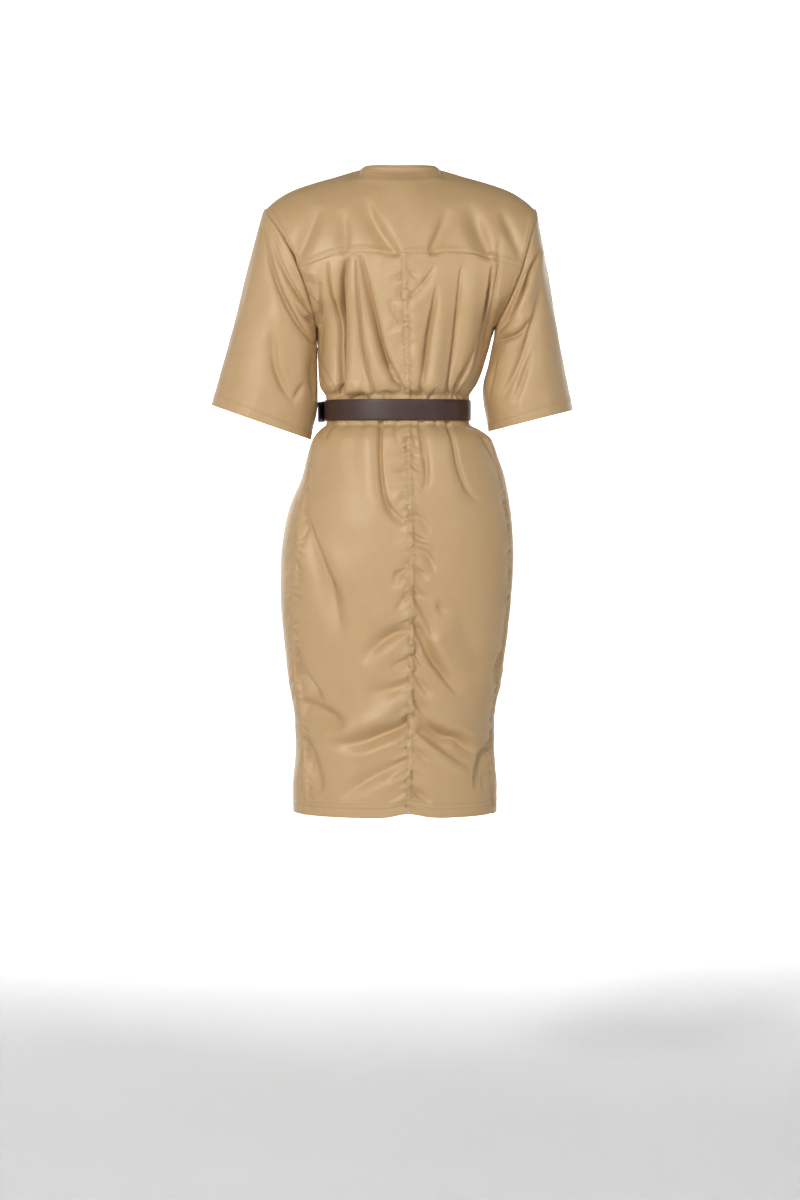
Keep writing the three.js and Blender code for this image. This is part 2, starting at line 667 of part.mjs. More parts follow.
// Joins the doubled vertices that the library's own shapes have along their edges
function weld(geometry) {
  geometry.deleteAttribute("normal");
  geometry.deleteAttribute("uv");
  return facingOut(mergeVertices(geometry, WELD_DISTANCE));
}

function buttonHeights() {
  const heights = [];
  for (let i = 0; i < BUTTONS_ABOVE_BELT; i += 1) heights.push(BUTTON_TOP_Z - i * BUTTON_PITCH);
  for (let i = 0; i < BUTTONS_BELOW_BELT; i += 1) {
    heights.push(BUTTON_BELOW_BELT_Z - i * BUTTON_PITCH);
  }
  return heights;
}

// The level at which the centre front reaches a height
function frontLevelAt(z) {
  if (z <= UNDERARM_Z) return z - UNDERARM_Z;
  const top = topHeight(0, false);
  const rise = (z - UNDERARM_Z) / (top - UNDERARM_Z);
  return Math.acos(1 - 2 * rise) / Math.PI;
}

function placeButton(button, z) {
  const lift = BUTTON_SEAT_GAP + BUTTON_THICKNESS / 2;
  const seat = placketPoint(0, frontLevelAt(z), PLACKET_LIFT + CLOTH);
  const above = placketPoint(0, frontLevelAt(z + BUTTON_RADIUS), 0);
  const below = placketPoint(0, frontLevelAt(z - BUTTON_RADIUS), 0);
  const normal = new THREE.Vector3(0, above.z - below.z, -(above.y - below.y)).normalize().negate();
  button.position.copy(seat).addScaledVector(normal, lift);
  button.quaternion.setFromUnitVectors(new THREE.Vector3(0, 1, 0), normal);
}

// One ring point of a sleeve: the turn is 0 at the outer end, a quarter at the back
function sleevePoint(table, sign, turn, along) {
  const row = (column) => lookUp(table, "along", column, along);
  const share = (1 - Math.cos(turn)) / 2;
  const back = Math.sin(turn) >= 0;
  const hole = ARMHOLE[sign > 0 ? "left" : "right"];
  const bow = (back ? hole.bowBack : hole.bowFront) * 4 * share * (1 - share);
  const fade = smooth(1 - along / 0.45);
  const x = mix(row("outerX"), row("innerX"), share + bow * fade);
  const z = mix(row("outerZ"), row("innerZ"), share);
  const y = row(back ? "back" : "front") * Math.sin(turn);
  const shift = foldShift(SLEEVE_FOLDS, x, z) * smooth((along - 0.06) / 0.15);
  const facing = Math.abs(Math.sin(turn)) ** FOLD_SIDE_FADE;
  const point = new THREE.Vector3(sign * x, y, z);
  return point.add(new THREE.Vector3(0, Math.sign(y) * shift * facing, 0));
}

function sleeve(table, sign) {
  const grid = [];
  const middles = [];
  for (let i = 0; i <= SLEEVE_STEPS_ALONG; i += 1) {
    const along = i / SLEEVE_STEPS_ALONG;
    const row = [];
    for (let j = 0; j < SLEEVE_STEPS_ROUND; j += 1) {
      row.push(sleevePoint(table, sign, (j / SLEEVE_STEPS_ROUND) * 4 * QUARTER, along));
    }
    grid.push(row);
    const middle = new THREE.Vector3();
    for (const point of row) middle.addScaledVector(point, 1 / SLEEVE_STEPS_ROUND);
    middles.push(middle);
  }
  const normals = gridNormals(grid, true, (point, i) => point.clone().sub(middles[i]));
  return wallGeometry(offsetGrid(grid, normals, CLOTH), grid, true);
}

// The belt's turn runs from 0 at the centre front over the left side, 90, and the back, 180
function beltAngle(turn) {
  return (180 - (turn > 360 ? turn - 360 : turn)) * DEGREE;
}

function beltBase(turn) {
  const angle = beltAngle(turn);
  const point = bodyPoint(angle || NEARLY_ZERO, BELT_Z - UNDERARM_Z);
  point.z = BELT_Z;
  return point;
}

function beltNormal(turn) {
  const ahead = beltBase(turn + 0.5);
  const behind = beltBase(turn - 0.5);
  const along = ahead.sub(behind).normalize();
  return new THREE.Vector3(0, 0, 1).cross(along).normalize().negate();
}

// Distance of the belt's inner face from the body
function beltLift(turn) {
  const fromFront = Math.min(turn % 360, 360 - (turn % 360));
  const span = BELT_LIFT_NONE_FROM - BELT_LIFT_FULL_TO;
  const overPlacket = BELT_LIFT_AT_PLACKET * smooth((BELT_LIFT_NONE_FROM - fromFront) / span);
  const cross = smooth((turn - BELT_CROSS_FROM) / (BELT_CROSS_TO - BELT_CROSS_FROM));
  const spring = BELT_SPRING * smooth((turn - BELT_SPRING_FROM) / (BELT_END - BELT_SPRING_FROM));
  return BELT_CLEARANCE + overPlacket + cross * (BELT_THICKNESS + SEAM_GAP) + spring;
}

function beltPoint(turn, lift, share) {
  const drop = BELT_TIP_DROP * smooth((turn - BELT_SPRING_FROM) / (BELT_END - BELT_SPRING_FROM));
  const point = beltBase(turn).addScaledVector(beltNormal(turn), beltLift(turn) + lift);
  point.z += share * BELT_HEIGHT - drop;
  return point;
}

function beltStrap() {
  const layer = (lift) => {
    const grid = [];
    for (let i = 0; i <= BELT_STEPS; i += 1) {
      const turn = mix(BELT_START, BELT_END, i / BELT_STEPS);
      grid.push([beltPoint(turn, lift, -0.5), beltPoint(turn, lift, 0.5)]);
    }
    return grid;
  };
  return wallGeometry(layer(BELT_THICKNESS), layer(0), false);
}

function roundedRectangle(width, height, corner, target) {
  const [w, h] = [width / 2, height / 2];
  target.moveTo(-w + corner, -h);
  target.lineTo(w - corner, -h);
  target.absarc(w - corner, -h + corner, corner, -QUARTER, 0, false);
  target.lineTo(w, h - corner);
  target.absarc(w - corner, h - corner, corner, 0, QUARTER, false);
  target.lineTo(-w + corner, h);
  target.absarc(-w + corner, h - corner, corner, QUARTER, 2 * QUARTER, false);
  target.lineTo(-w, -h + corner);
  target.absarc(-w + corner, -h + corner, corner, 2 * QUARTER, 3 * QUARTER, false);
  return target;
}

function ringPlate(width, height, wall, corner, depth) {
  const shape = roundedRectangle(width, height, corner, new THREE.Shape());
  const hole = new THREE.Path();
  roundedRectangle(width - 2 * wall, height - 2 * wall, Math.max(0.4, corner - wall), hole);
  shape.holes.push(hole);
  const geometry = new THREE.ExtrudeGeometry(shape, { depth, bevelEnabled: false, curveSegments: 3 });
  geometry.translate(0, 0, -depth / 2);
  return weld(geometry);
}

const material = (finish) => new THREE.MeshStandardMaterial({ ...FINISH[finish] });

function named(name, geometry, finish) {
  const mesh = new THREE.Mesh(geometry, material(finish));
  mesh.name = name;
  return mesh;
}

// Front face of the belt's first layer at the centre front
function beltFrontY() {
  const depth = lookUp(BODY, "z", "front", BELT_Z);
  return -(depth + BELT_CLEARANCE + BELT_LIFT_AT_PLACKET + BELT_THICKNESS);
}

function buckle() {
  const group = new THREE.Group();
  const frame = named(
    "buckle_frame",
    ringPlate(BUCKLE_WIDTH, BUCKLE_HEIGHT, BUCKLE_BAR, BUCKLE_CORNER, METAL),
    "brass",
  );
  frame.rotation.set(QUARTER, 0, BUCKLE_TILT * DEGREE, "ZXY");
  group.add(frame);
  group.position.set(BUCKLE_X, beltFrontY() + BUCKLE_SINK, BELT_Z);
  return group;
}

function prong() {
  const path = new THREE.CatmullRomCurve3(PRONG_PATH.map(({ x, y }) => new THREE.Vector3(x, y, 0)));
  const section = new THREE.Shape();
  section.absarc(0, 0, PRONG_RADIUS, 0, 4 * QUARTER, false);
  const geometry = new THREE.ExtrudeGeometry(section, {
    steps: PRONG_STEPS,
    curveSegments: 4,
    extrudePath: path,
    bevelEnabled: false,
  });
  const mesh = named("buckle_prong", weld(geometry), "brass");
  mesh.position.set(0, beltFrontY(), BELT_Z);
  return mesh;
}

function keeper() {
  const layers = 2 * BELT_THICKNESS + SEAM_GAP;
  const inside = layers + 2 * SEAM_GAP;
  const geometry = ringPlate(
    inside + 2 * KEEPER_WALL,
    BELT_HEIGHT + 2 * SEAM_GAP + 2 * KEEPER_WALL + KEEPER_ROOM,
    KEEPER_WALL,
    KEEPER_CORNER,
    KEEPER_WIDTH,
  );
  const mesh = named("belt_keeper", geometry, "leather");
  const normal = beltNormal(KEEPER_TURN);
  mesh.position.copy(beltPoint(KEEPER_TURN, layers / 2, 0));
  mesh.rotation.set(QUARTER, 0, Math.atan2(normal.y, normal.x), "ZXY");
  return mesh;
}

const dress = new THREE.Group();
dress.add(named("back_yoke", backYoke(), "cloth"));
dress.add(named("back_panel_left", backPanel(1), "cloth"));
dress.add(named("back_panel_right", backPanel(-1), "cloth"));
dress.add(named("front_panel_left", frontPanel(1), "cloth"));
dress.add(named("front_panel_right", frontPanel(-1), "cloth"));
dress.add(named("sleeve_left", sleeve(SLEEVE_LEFT, 1), "cloth"));
dress.add(named("sleeve_right", sleeve(SLEEVE_RIGHT, -1), "cloth"));
dress.add(named("neckband", neckband(), "trim"));
dress.add(named("front_placket", frontPlacket(), "trim"));
buttonHeights().forEach((z, i) => {
  const button = named("button_" + (i + 1), buttonGeometry(), "horn");
  placeButton(button, z);
  dress.add(button);
});
dress.add(named("belt_strap", beltStrap(), "leather"));
dress.add(keeper());
dress.add(buckle());
dress.add(prong());

export default dress;
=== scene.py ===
import math

import bpy
import numpy as np
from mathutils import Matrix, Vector


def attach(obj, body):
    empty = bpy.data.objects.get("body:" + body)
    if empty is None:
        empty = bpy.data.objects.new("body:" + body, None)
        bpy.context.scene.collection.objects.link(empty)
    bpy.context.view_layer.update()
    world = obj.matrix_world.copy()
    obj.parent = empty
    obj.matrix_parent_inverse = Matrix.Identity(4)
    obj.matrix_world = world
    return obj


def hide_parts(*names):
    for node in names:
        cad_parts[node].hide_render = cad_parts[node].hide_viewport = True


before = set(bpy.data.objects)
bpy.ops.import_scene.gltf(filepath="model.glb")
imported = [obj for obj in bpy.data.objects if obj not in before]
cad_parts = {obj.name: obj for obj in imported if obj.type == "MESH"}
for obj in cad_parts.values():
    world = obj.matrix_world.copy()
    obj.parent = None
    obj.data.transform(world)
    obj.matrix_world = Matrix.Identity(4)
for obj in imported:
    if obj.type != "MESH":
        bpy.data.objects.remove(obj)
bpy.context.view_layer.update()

# The tables and shapes are in millimetres, as in the part's source. Meshes are made in metres.
# +X is the wearer's left, +Y the back that the camera sees. Folds seen from the back are placed
# by the pixels of the 800 x 1200 photograph, and those of the front as if seen through a camera
# at the same distance in front.
MM = 0.001
QUARTER = math.pi / 2
CLOTH = 1.2
SLEEVE_WALL = 1.6
HIDDEN = 1.0e-6
UP = np.array([0.0, 0.0, 1.0])

# Camera
LENS = 85.0
SENSOR = 36.0
PHOTO = (800.0, 1200.0)
FOCAL_PX = LENS / SENSOR * PHOTO[1]
CAMERA_AWAY = 4505.0
CAMERA_Z = -448.0
AIM_Z = -676.0
FLOOR_Z = -1598.0

# Body, as in the part's source, apart from the shoulder line and the yoke beside the neck,
# which are lower and steeper here
SQUARENESS = 2.25
SHOULDER_HALF = 215.0
NECK_HALF = 62.0
NECK_BACK_DEPTH = 46.0
NECK_FRONT_DEPTH = 80.0
NECK_TOP = 5.0
NECK_BACK_DROP = 8.0
NECK_FRONT_DROP = 76.0
NECK_SPREAD = (-24, -12, 0, 12, 24)
NECK_STEEPNESS = 5.3
CHEST_ROUND = 1.6
UNDERARM_Z = -245.0
HEM_Z = -1012.0
BELT_Z = -375.0
BELT_HALF = 16.5
SKIRT_FROM_Z = -470
CENTRE_BACK_LIFT = 7.0
CENTRE_BACK_LIFT_WIDTH = 26.0
CENTRE_BACK_LIFT_FROM_Z = -845.0


def columns(names, rows):
    table = np.array(rows, dtype=float)
    return {name: table[:, i] for i, name in enumerate(names.split())}


SHOULDER_LINE = columns("x z", [
    (62, 5), (80, 0), (103, -7), (127, -13.5), (170, -28), (196, -43), (215, -60),
])
BODY = columns("z left right back front seam_left seam_right", [
    (-245, 131, 149, 101, 112, 90, 90),
    (-270, 129.5, 142, 101, 111, 88, 88),
    (-295, 128.5, 135, 102, 109, 86, 86),
    (-318, 128, 128, 105, 107, 85, 85),
    (-334, 127, 121, 106, 104, 84, 84),
    (-345, 122, 113, 101, 98, 83, 83),
    (-353, 116.5, 109.5, 90, 90, 82, 82),
    (-375, 116.5, 109.5, 90, 90, 81, 81),
    (-397, 116.5, 109.5, 90, 90, 80, 80),
    (-406, 127, 126, 100, 96, 79, 79),
    (-421, 139, 145, 109, 103, 77, 78),
    (-452, 149, 157, 115, 107, 73, 77),
    (-485, 158, 167, 120, 110, 68.5, 76),
    (-517, 172, 173, 124, 112, 64, 76),
    (-565, 184, 179, 127, 113, 61, 76),
    (-612, 189, 181, 127, 113, 61.5, 76),
    (-676, 191, 177, 124, 111, 62.5, 77),
    (-740, 186, 170, 118, 109, 65.5, 78),
    (-803, 178, 161, 113, 107, 69, 79),
    (-867, 169, 150, 110, 105, 68, 79),
    (-914, 168, 151, 109, 105, 66, 78),
    (-970, 172, 155, 110, 106, 63, 75),
    (-1012, 171, 154, 110, 106, 62, 74),
])
CENTRE_BACK = columns("z x", [
    (-120, -6), (-375, -13), (-452, -15), (-700, -19), (-1012, -13),
])
ARMHOLE = {
    1: {"low_x": 131.0, "bow_back": 0.17, "bow_front": 0.12, "back": 62.0, "front": 60.0},
    -1: {"low_x": 149.0, "bow_back": -0.13, "bow_front": 0.08, "back": 62.0, "front": 60.0},
}
YOKE_SEAM = columns("share rise", [
    (0, 0.45), (0.2, 0.452), (0.42, 0.465), (0.62, 0.482), (0.8, 0.473), (1, 0.474),
])
SLEEVE = {
    1: columns("along outer_x outer_z inner_x inner_z back front", [
        (0, 215.4, -60, 133.6, -245, 62, 60),
        (0.33, 242, -162, 133, -303, 66, 64),
        (0.66, 269, -263, 132.5, -362, 64, 62),
        (1, 297, -367, 142.5, -421, 62, 60),
    ]),
    -1: columns("along outer_x outer_z inner_x inner_z back front", [
        (0, 215.4, -60, 151.6, -245, 62, 60),
        (0.33, 233, -164, 143, -296, 67, 65),
        (0.66, 252, -269, 132, -344, 69, 67),
        (1, 271.5, -375, 143, -408, 69, 67),
    ]),
}


# Folds seen from the back. Each is a skew, a colon and its knots: x, y in pixels of the photograph,
# depth in millimetres (negative is a trough) and half width in pixels. A skew above 0 makes the
# fold steeper on its right as it runs down, below 0 on its left.
def folds(table):
    parsed = []
    for fold in table.split(";"):
        skew, knots = fold.split(":")
        knots = [[float(value) for value in knot.split()] for knot in knots.split(",")]
        parsed.append((float(skew), knots))
    return parsed


YOKE_FOLDS = folds("""
0: 320 205 0 8, 312 222 -2.2 8, 302 247 -2.6 7, 298 262 0 6;
0.2: 343 208 0 6, 345 230 -2 6, 345 248 -1.6 5;
0.3: 365 196 0 8, 373 219 -2.6 7, 385 238 -3 7, 396 252 -2 6;
0: 384 205 0 12, 392 230 2 12, 400 250 1 9;
-0.3: 449 208 0 8, 441 228 -2.6 7, 432 249 -2.4 6;
0.2: 470 200 0 9, 479 226 -4 9, 488 250 -3 7;
0: 501 234 0 3, 499 248 -1 3, 499 262 -1 3;
0.2: 500 208 0 6, 511 228 -2.4 6, 520 252 -1.6 5;
0: 457 215 0 9, 464 240 1.8 9, 470 252 1 8""")
BODICE_FOLDS = folds("""
0.4: 328 264 -0.5 3, 329 285 -3 3, 333 305 -4.5 3, 336 326 -4.5 3, 336 348 -4 3, 337 378 -4 3, 339
  396 -3 3;
0.3: 348 256 -1 4, 344 271 -6 5, 342 301 -10 6, 341.5 348 -11 6, 341 394 -8 5;
0: 355 256 1.5 5, 355 290 3 6, 355 330 3 7, 351 372 3.5 7, 347 390 2 6;
0.5: 357 262 -1 3, 358 290 -2 3, 360 318 -3 3, 363 348 -3.2 3, 368 371 -3.2 3, 375 394 -2 3;
0: 364 290 0 6, 369 330 2 6, 377 360 3.5 7, 388 388 2 7;
0.4: 361 257 -1 5, 366 275 -3 6, 372 303 -5.5 7, 378 330 -7 6, 386 357 -8.5 5, 395 375 -8.5 5, 402
  390 -5 4;
0.3: 388 300 0 3, 395 313 -2.4 3, 402 327 0 3;
0: 419 276 0 6, 415 310 1.5 6, 416 345 2.5 6, 413 390 2 6;
-0.3: 437 284 0 5, 432 312 -4 6, 427 340 -5 6, 424 370 -4.5 5, 420 396 -4 5;
0: 443 270 1 8, 440 310 3.5 9, 437 350 4.5 9, 432 392 3 8;
-0.4: 461 270 -1 4, 457 312 -2.8 4, 453 350 -3.2 4, 447 394 -3 4;
0: 475 262 1.5 8, 472 300 4.5 9, 468 335 5 9, 461 365 3 8;
-0.6: 492 268 -1 3, 490 285 -4.5 3, 487 305 -6.5 3, 482 332 -7.5 3, 477 357 -7 3, 471 375 -6 4, 459
  396 -4.5 4;
0: 499 266 -1.8 2, 496 286 -2.6 3, 491 314 -2.6 3, 485 348 -2.2 3, 482 363 0 3;
0: 496 296 2.5 5, 489 335 3 5, 480 366 3 6, 470 390 2.5 5;
-0.4: 473 350 0 4, 465 370 -4 4, 457 387 -4.5 4, 454 396 -3 4;
0: 478 352 0 4, 470 374 2.5 4, 463 392 2.5 4;
0: 345 397 1 5, 353 389 4 5, 365 390 4 5, 375 398 1 5;
0: 350 400 -2 5, 360 396 -3 5, 369 400 -2 5;
0.3: 318 372 -1 3, 323 384 -3 3, 329 397 -3 3;
0.3: 323 368 -1 3, 330 383 -3 3, 336 397 -3 3;
0: 326 372 1 3, 333 386 2.5 3, 338 397 2 3;
-0.2: 441 266 0 5, 431 287 2 5, 419 301 2.2 4, 409 310 1 4;
-0.2: 436 264 0 4, 424 282 -1.8 4, 411 296 -1.6 4;
0.2: 384 390 0 4, 389 394 -2 4, 392 399 -2 4;
-0.2: 436 386 0 4, 432 394 -2.2 4, 429 399 -2 4""")
SKIRT_FOLDS = folds("""
0.5: 381 421 -5 4, 380 445 -5 4, 381 470 -5 4, 384 493 -4.5 4, 390 508 -4.5 4, 403 521 -2 4;
0: 370 424 2 9, 368 455 3 10, 370 485 2.5 10, 377 508 1 9;
-0.3: 421 421 -5.5 4, 423 445 -5.5 4, 427 468 -5 4, 426 483 -3.5 4, 421 492 0 4;
0: 415 423 2 4, 418 450 3 4, 420 470 2 4;
0: 430 423 1.5 7, 436 455 2 9, 438 480 0.5 9;
0.2: 398 421 -3 2, 397 436 -2.5 2, 402 452 0 3;
0.5: 448 421 -4.5 4, 454 443 -4.5 4, 459 467 -4 5, 468 489 -3.5 5, 481 502 0 6;
0: 446 440 1.5 8, 450 468 2 9, 458 492 1 9;
0.5: 472 421 -3 4, 489 443 -4.5 4, 498 462 -4 4, 506 482 -1.5 4;
0.3: 324 421 -3 4, 316 432 -3.5 4, 309 449 -3.5 4, 303 472 -3 4, 302 492 -1 4;
0: 332 421 -3.5 4, 327 432 -2 4, 323 446 0 5;
0: 340 423 2 6, 336 440 1.5 7, 331 465 0 8;
0: 362 421 -2 3, 361 430 0 3;
0: 436 421 -2.5 3, 439 430 0 3;
0.4: 302 508 0 5, 307 524 -3.5 6, 313 543 -5 7, 322 566 -5.5 8, 333 596 -5 11, 340 640 0 13;
0: 318 520 0 10, 334 560 2 12, 350 600 2 14, 362 640 0 14;
0.3: 408 631 -2.5 5, 399 633 -4 6, 385 640 -4 7, 370 652 -2 8, 362 664 0 8;
0: 407 647 1.5 6, 392 651 2.5 7, 378 664 2 8, 366 682 0 9;
0: 408 684 -2 6, 394 689 -3 8, 376 692 -2 9, 362 692 0 9;
0.5: 292 645 -1 6, 296 662 -4 6, 304 676 -5.5 6, 315 691 -5 6, 324 701 0 5;
0.2: 292 698 0 8, 304 704 -3.5 9, 318 710 -5 9, 333 718 -5 8, 346 726 0 7;
0: 318 730 0 9, 340 734 2.5 9, 362 730 1 9;
0: 346 733 0 8, 362 725 2.5 8, 385 715 3 8, 403 695 1.5 7;
0: 325 742 0 8, 346 744 -2.5 8, 366 741 -4 8, 388 733 -5 7, 403 727 -5 6, 409 720 -3 5;
0: 352 760 0 7, 370 752 2 7, 388 745 2.5 7, 403 735 2 6;
0: 340 800 0 8, 355 787 -2 8, 374 776 -2.5 7, 392 767 -2 6, 407 759 -2 5;
0: 362 806 0 7, 380 790 1.5 7, 402 776 1.5 6;
0.4: 293 722 -1 7, 304 742 -3.5 8, 313 764 -4 8, 318 782 -3 8, 318 796 0 8;
-0.5: 414 623 -2 5, 422 640 -5 6, 431 659 -5.5 7, 445 677 -4.5 7, 459 696 0 7;
0: 426 622 1 7, 438 648 3 8, 452 672 2 8;
-0.4: 415 597 -2 5, 424 613 -3.5 6, 431 630 -3 6, 436 642 0 6;
-0.3: 414 674 -2 4, 424 688 -3 4, 431 699 0 4;
-0.3: 414 694 -2 4, 424 712 -3 5, 431 727 -1 5;
0: 417 719 -2.5 5, 429 729 -5 6, 444 737 -6 7, 458 740 -5.5 7, 472 750 -3 8, 486 757 0 8;
0: 430 716 1 7, 448 724 2.5 8, 470 733 2.5 9, 486 738 0 9;
0: 422 745 1 6, 440 754 2.5 7, 460 768 1.5 8;
-0.3: 420 733 -2 4, 436 744 -2.5 5, 455 757 -3 6, 472 766 0 7;
-0.5: 498 716 0 5, 493 738 -3 5, 482 757 -4 5, 477 775 -3 5, 475 790 0 5;
-0.3: 488 764 0 4, 485 780 -1.6 4, 484 795 0 4;
-0.3: 505 640 0 4, 498 668 -3 4, 492 686 0 4;
0: 413 789 -2 4, 422 797 -3 4, 432 804 0 4;
-0.2: 436 600 0 5, 441 609 -2 5, 446 617 0 5;
0: 452 600 0 16, 470 640 -2 18, 478 680 0 18""")
# Short wrinkles that run off the centre-back seam
SEAM_WRINKLES = folds("""
0.2: 411 430 -1.5 2, 415 441 -2 2, 418 452 0 2;
0.2: 409 449 -1.5 2, 416 454 -2 2, 422 456 0 2;
0.2: 412 463 -2 2, 419 470 -2 2, 425 471 0 2;
0: 405 466 -2 2, 399 470 -1.6 3, 394 468 0 3;
0.3: 411 516 -1.5 3, 420 517 -2.2 3, 427 525 -2 4, 429 536 0 4;
0.3: 413 534 -1.5 2, 421 540 -2 3, 427 543 0 3;
0.3: 414 547 -1.5 3, 426 553 -2.4 3, 433 563 -1.5 4, 435 575 0 4;
0: 415 541 1.5 3, 425 546 2 3, 433 552 0 4;
0.3: 414 566 -1.5 2, 422 573 -2.2 3, 430 580 0 3;
0: 406 570 -2 3, 398 576 -2.5 4, 394 587 0 5;
0: 406 580 1 3, 400 588 1.5 4, 396 597 0 4;
0.3: 415 588 -2 3, 422 595 -2 3, 430 600 0 3;
0: 406 599 -2 3, 400 605 -1.6 3, 397 610 0 3;
0: 403 487 1.6 3, 398 496 1.8 3, 392 506 0 3;
0.3: 414 638 -1.5 2, 419 647 -1.5 2, 421 655 0 2;
0: 407 660 -1.5 3, 398 664 -1.5 3, 390 668 0 4;
0.3: 413 656 -2 2, 418 665 -2 2, 421 673 0 2;
0.3: 416 703 -1.5 2, 420 709 -1.5 2, 423 715 0 2;
0.3: 416 750 -1.5 2, 423 756 -1.8 3, 430 763 0 3;
0: 406 771 -1.5 2, 399 777 -1.5 3, 391 781 0 3;
0.3: 413 772 -1.5 2, 420 777 -1.2 3, 426 780 0 3;
0: 411 273 -1.2 2, 415 278 -1.2 2, 419 280 0 2;
0: 411 333 -1.2 3, 418 330 -1.2 3, 424 322 0 3;
0: 412 344 -1.2 2, 418 342 -1.2 3, 425 343 0 3""")
ARMPIT_FOLDS = folds("""
0: 297 276 2 3, 304 273 3 3, 312 274 2 3, 316 282 0 3;
0: 298 282 -3 2, 307 282 -3 2, 316 285 0 2;
0: 303 290 1.5 3, 310 296 2.5 3, 316 304 0 3;
0: 308 293 -2 2, 314 302 -3 2, 318 312 0 2;
0: 319 283 -1.5 3, 320 305 -3 3, 320 335 -3 3, 320 362 0 3;
0: 482 377 -2 3, 476 384 -2 3, 470 390 0 3""")
SLEEVE_FOLDS = folds("""
0.5: 263 222 0 3, 269 256 -2.4 4, 279 287 -4 4, 291 311 -4 4, 306 333 -3 4, 317 346 0 4;
0: 268 226 0 4, 277 262 2.6 5, 288 291 3.4 5, 303 314 3 5;
0.3: 272 236 0 3, 281 262 -1.6 3, 292 284 -2.2 3, 305 304 -3 3, 316 318 0 3;
0: 293 300 0 4, 303 315 -2.5 4, 314 322 -2 4, 319 324 0 4;
0: 272 320 0 10, 274 360 -3 10, 283 386 -3 9, 292 402 0 8;
0: 251 300 0 12, 246 350 2 13, 243 395 0 12;
0: 304 380 0 6, 298 393 -2 6, 291 404 0 6;
0: 311 352 0 4, 312 377 -2.5 4, 313 400 0 4;
0: 318 346 0 3, 316 378 2 3, 317 404 0 3;
0: 296 330 0 8, 300 360 2.5 8, 301 388 0 8;
-0.5: 539 250 -1 3, 530 270 -4 3, 521 294 -4 3, 510 315 -3 3, 500 334 0 3;
0: 534 250 0 3, 523 274 2.5 3, 512 300 2.5 3, 502 325 0 3;
-0.3: 531 262 0 3, 519 285 -3 3, 510 305 -2.5 3, 501 327 0 3;
0: 545 235 0 5, 538 262 2 5, 528 290 2.5 6, 514 318 1 6;
0.3: 498 341 -1 4, 508 337 -4 4, 520 332 -3.5 4, 531 318 0 5;
0: 500 334 1 4, 511 329 3.5 5, 523 322 2.5 5, 533 308 0 5;
0: 503 350 0 6, 512 345 2.5 6, 524 340 1.5 7;
-0.2: 542 285 0 8, 533 322 -2.5 9, 520 360 -3 9, 508 386 -2 9, 500 404 0 8;
0: 550 300 0 10, 545 345 2 11, 535 390 0 11;
0: 534 348 0 7, 523 378 -2.5 7, 514 404 0 7;
0: 499 350 0 4, 493 372 -2 4, 490 398 0 4""")
# Folds of the front, in the pixels of the same camera in front: left there is the wearer's right
FRONT_FOLDS = folds("""
0.3: 352 288 0 6, 357 330 -4.5 6, 362 370 -5 6, 366 396 -3.5 5;
0: 342 300 0 7, 346 340 3.5 8, 352 385 3 7;
0.3: 330 310 0 5, 336 350 -3.5 5, 344 396 -3.5 5;
-0.3: 449 290 0 6, 444 335 -4.5 6, 438 372 -5 6, 434 396 -3.5 5;
0: 461 296 0 7, 456 340 3.5 8, 449 385 3 7;
-0.3: 474 315 0 5, 467 352 -3.5 5, 458 396 -3.5 5;
0: 374 320 0 5, 376 360 -2.5 5, 379 396 -2.5 4;
0: 427 320 0 5, 424 360 -2.5 5, 422 396 -2.5 4;
0.4: 362 421 -4.5 4, 359 450 -4.5 5, 354 485 -3 6, 350 515 0 6;
0: 352 423 2.5 6, 348 455 2.5 7, 343 490 0 8;
0.4: 340 421 -3.5 4, 334 445 -3.5 5, 326 475 0 6;
-0.4: 437 421 -4.5 4, 441 452 -4.5 5, 447 488 -3 6, 452 520 0 6;
0: 447 423 2.5 6, 452 455 2.5 7, 458 492 0 8;
-0.4: 459 421 -3.5 4, 465 446 -3.5 5, 474 478 0 6;
0: 379 421 -2.5 3, 379 440 0 4;
0: 421 421 -2.5 3, 421 438 0 4;
0.3: 300 660 0 7, 318 682 -3.5 8, 342 702 -3.5 9, 362 712 0 9;
-0.3: 500 650 0 7, 482 676 -3.5 8, 460 698 -3.5 9, 438 708 0 9;
0.3: 300 716 0 6, 322 734 -3.5 7, 346 748 -3 8, 368 752 0 8;
-0.3: 500 720 0 6, 478 742 -3.5 7, 455 756 -3 8, 430 760 0 8;
0: 330 690 0 9, 352 722 2.5 10, 375 735 0 10;
0: 470 690 0 9, 450 726 2.5 10, 424 740 0 10;
0: 318 560 0 10, 330 600 -2.5 12, 345 640 0 12;
0: 482 550 0 10, 470 595 -2.5 12, 456 640 0 12;
0: 300 250 0 7, 306 285 -2.5 6, 318 312 0 6;
0: 500 250 0 7, 494 285 -2.5 6, 482 312 0 6""")


def smooth(value):
    value = np.clip(value, 0.0, 1.0)
    return value * value * (3.0 - 2.0 * value)


def mix(a, b, share):
    return a + (b - a) * share


def look_up(table, along, column, place):
    """A column at a place along another one, on a smooth curve that doesn't overshoot."""
    xs, ys = table[along], table[column]
    if xs[0] > xs[-1]:
        xs, ys = xs[::-1], ys[::-1]
    place = np.clip(place, xs[0], xs[-1])
    slopes = np.diff(ys) / np.diff(xs)
    before, after = slopes[:-1], slopes[1:]
    same = before * after > 0
    middle = np.where(same, 2 * before * after / np.where(same, before + after, 1.0), 0.0)
    ends = np.concatenate([[slopes[0]], middle, [slopes[-1]]])
    k = np.clip(np.searchsorted(xs, place) - 1, 0, len(xs) - 2)
    span = xs[k + 1] - xs[k]
    s = (place - xs[k]) / span
    rise = s * s * (3 - 2 * s)
    return (ys[k] + (ys[k + 1] - ys[k]) * rise
            + ends[k] * span * s * (1 - s) ** 2 - ends[k + 1] * span * s * s * (1 - s))


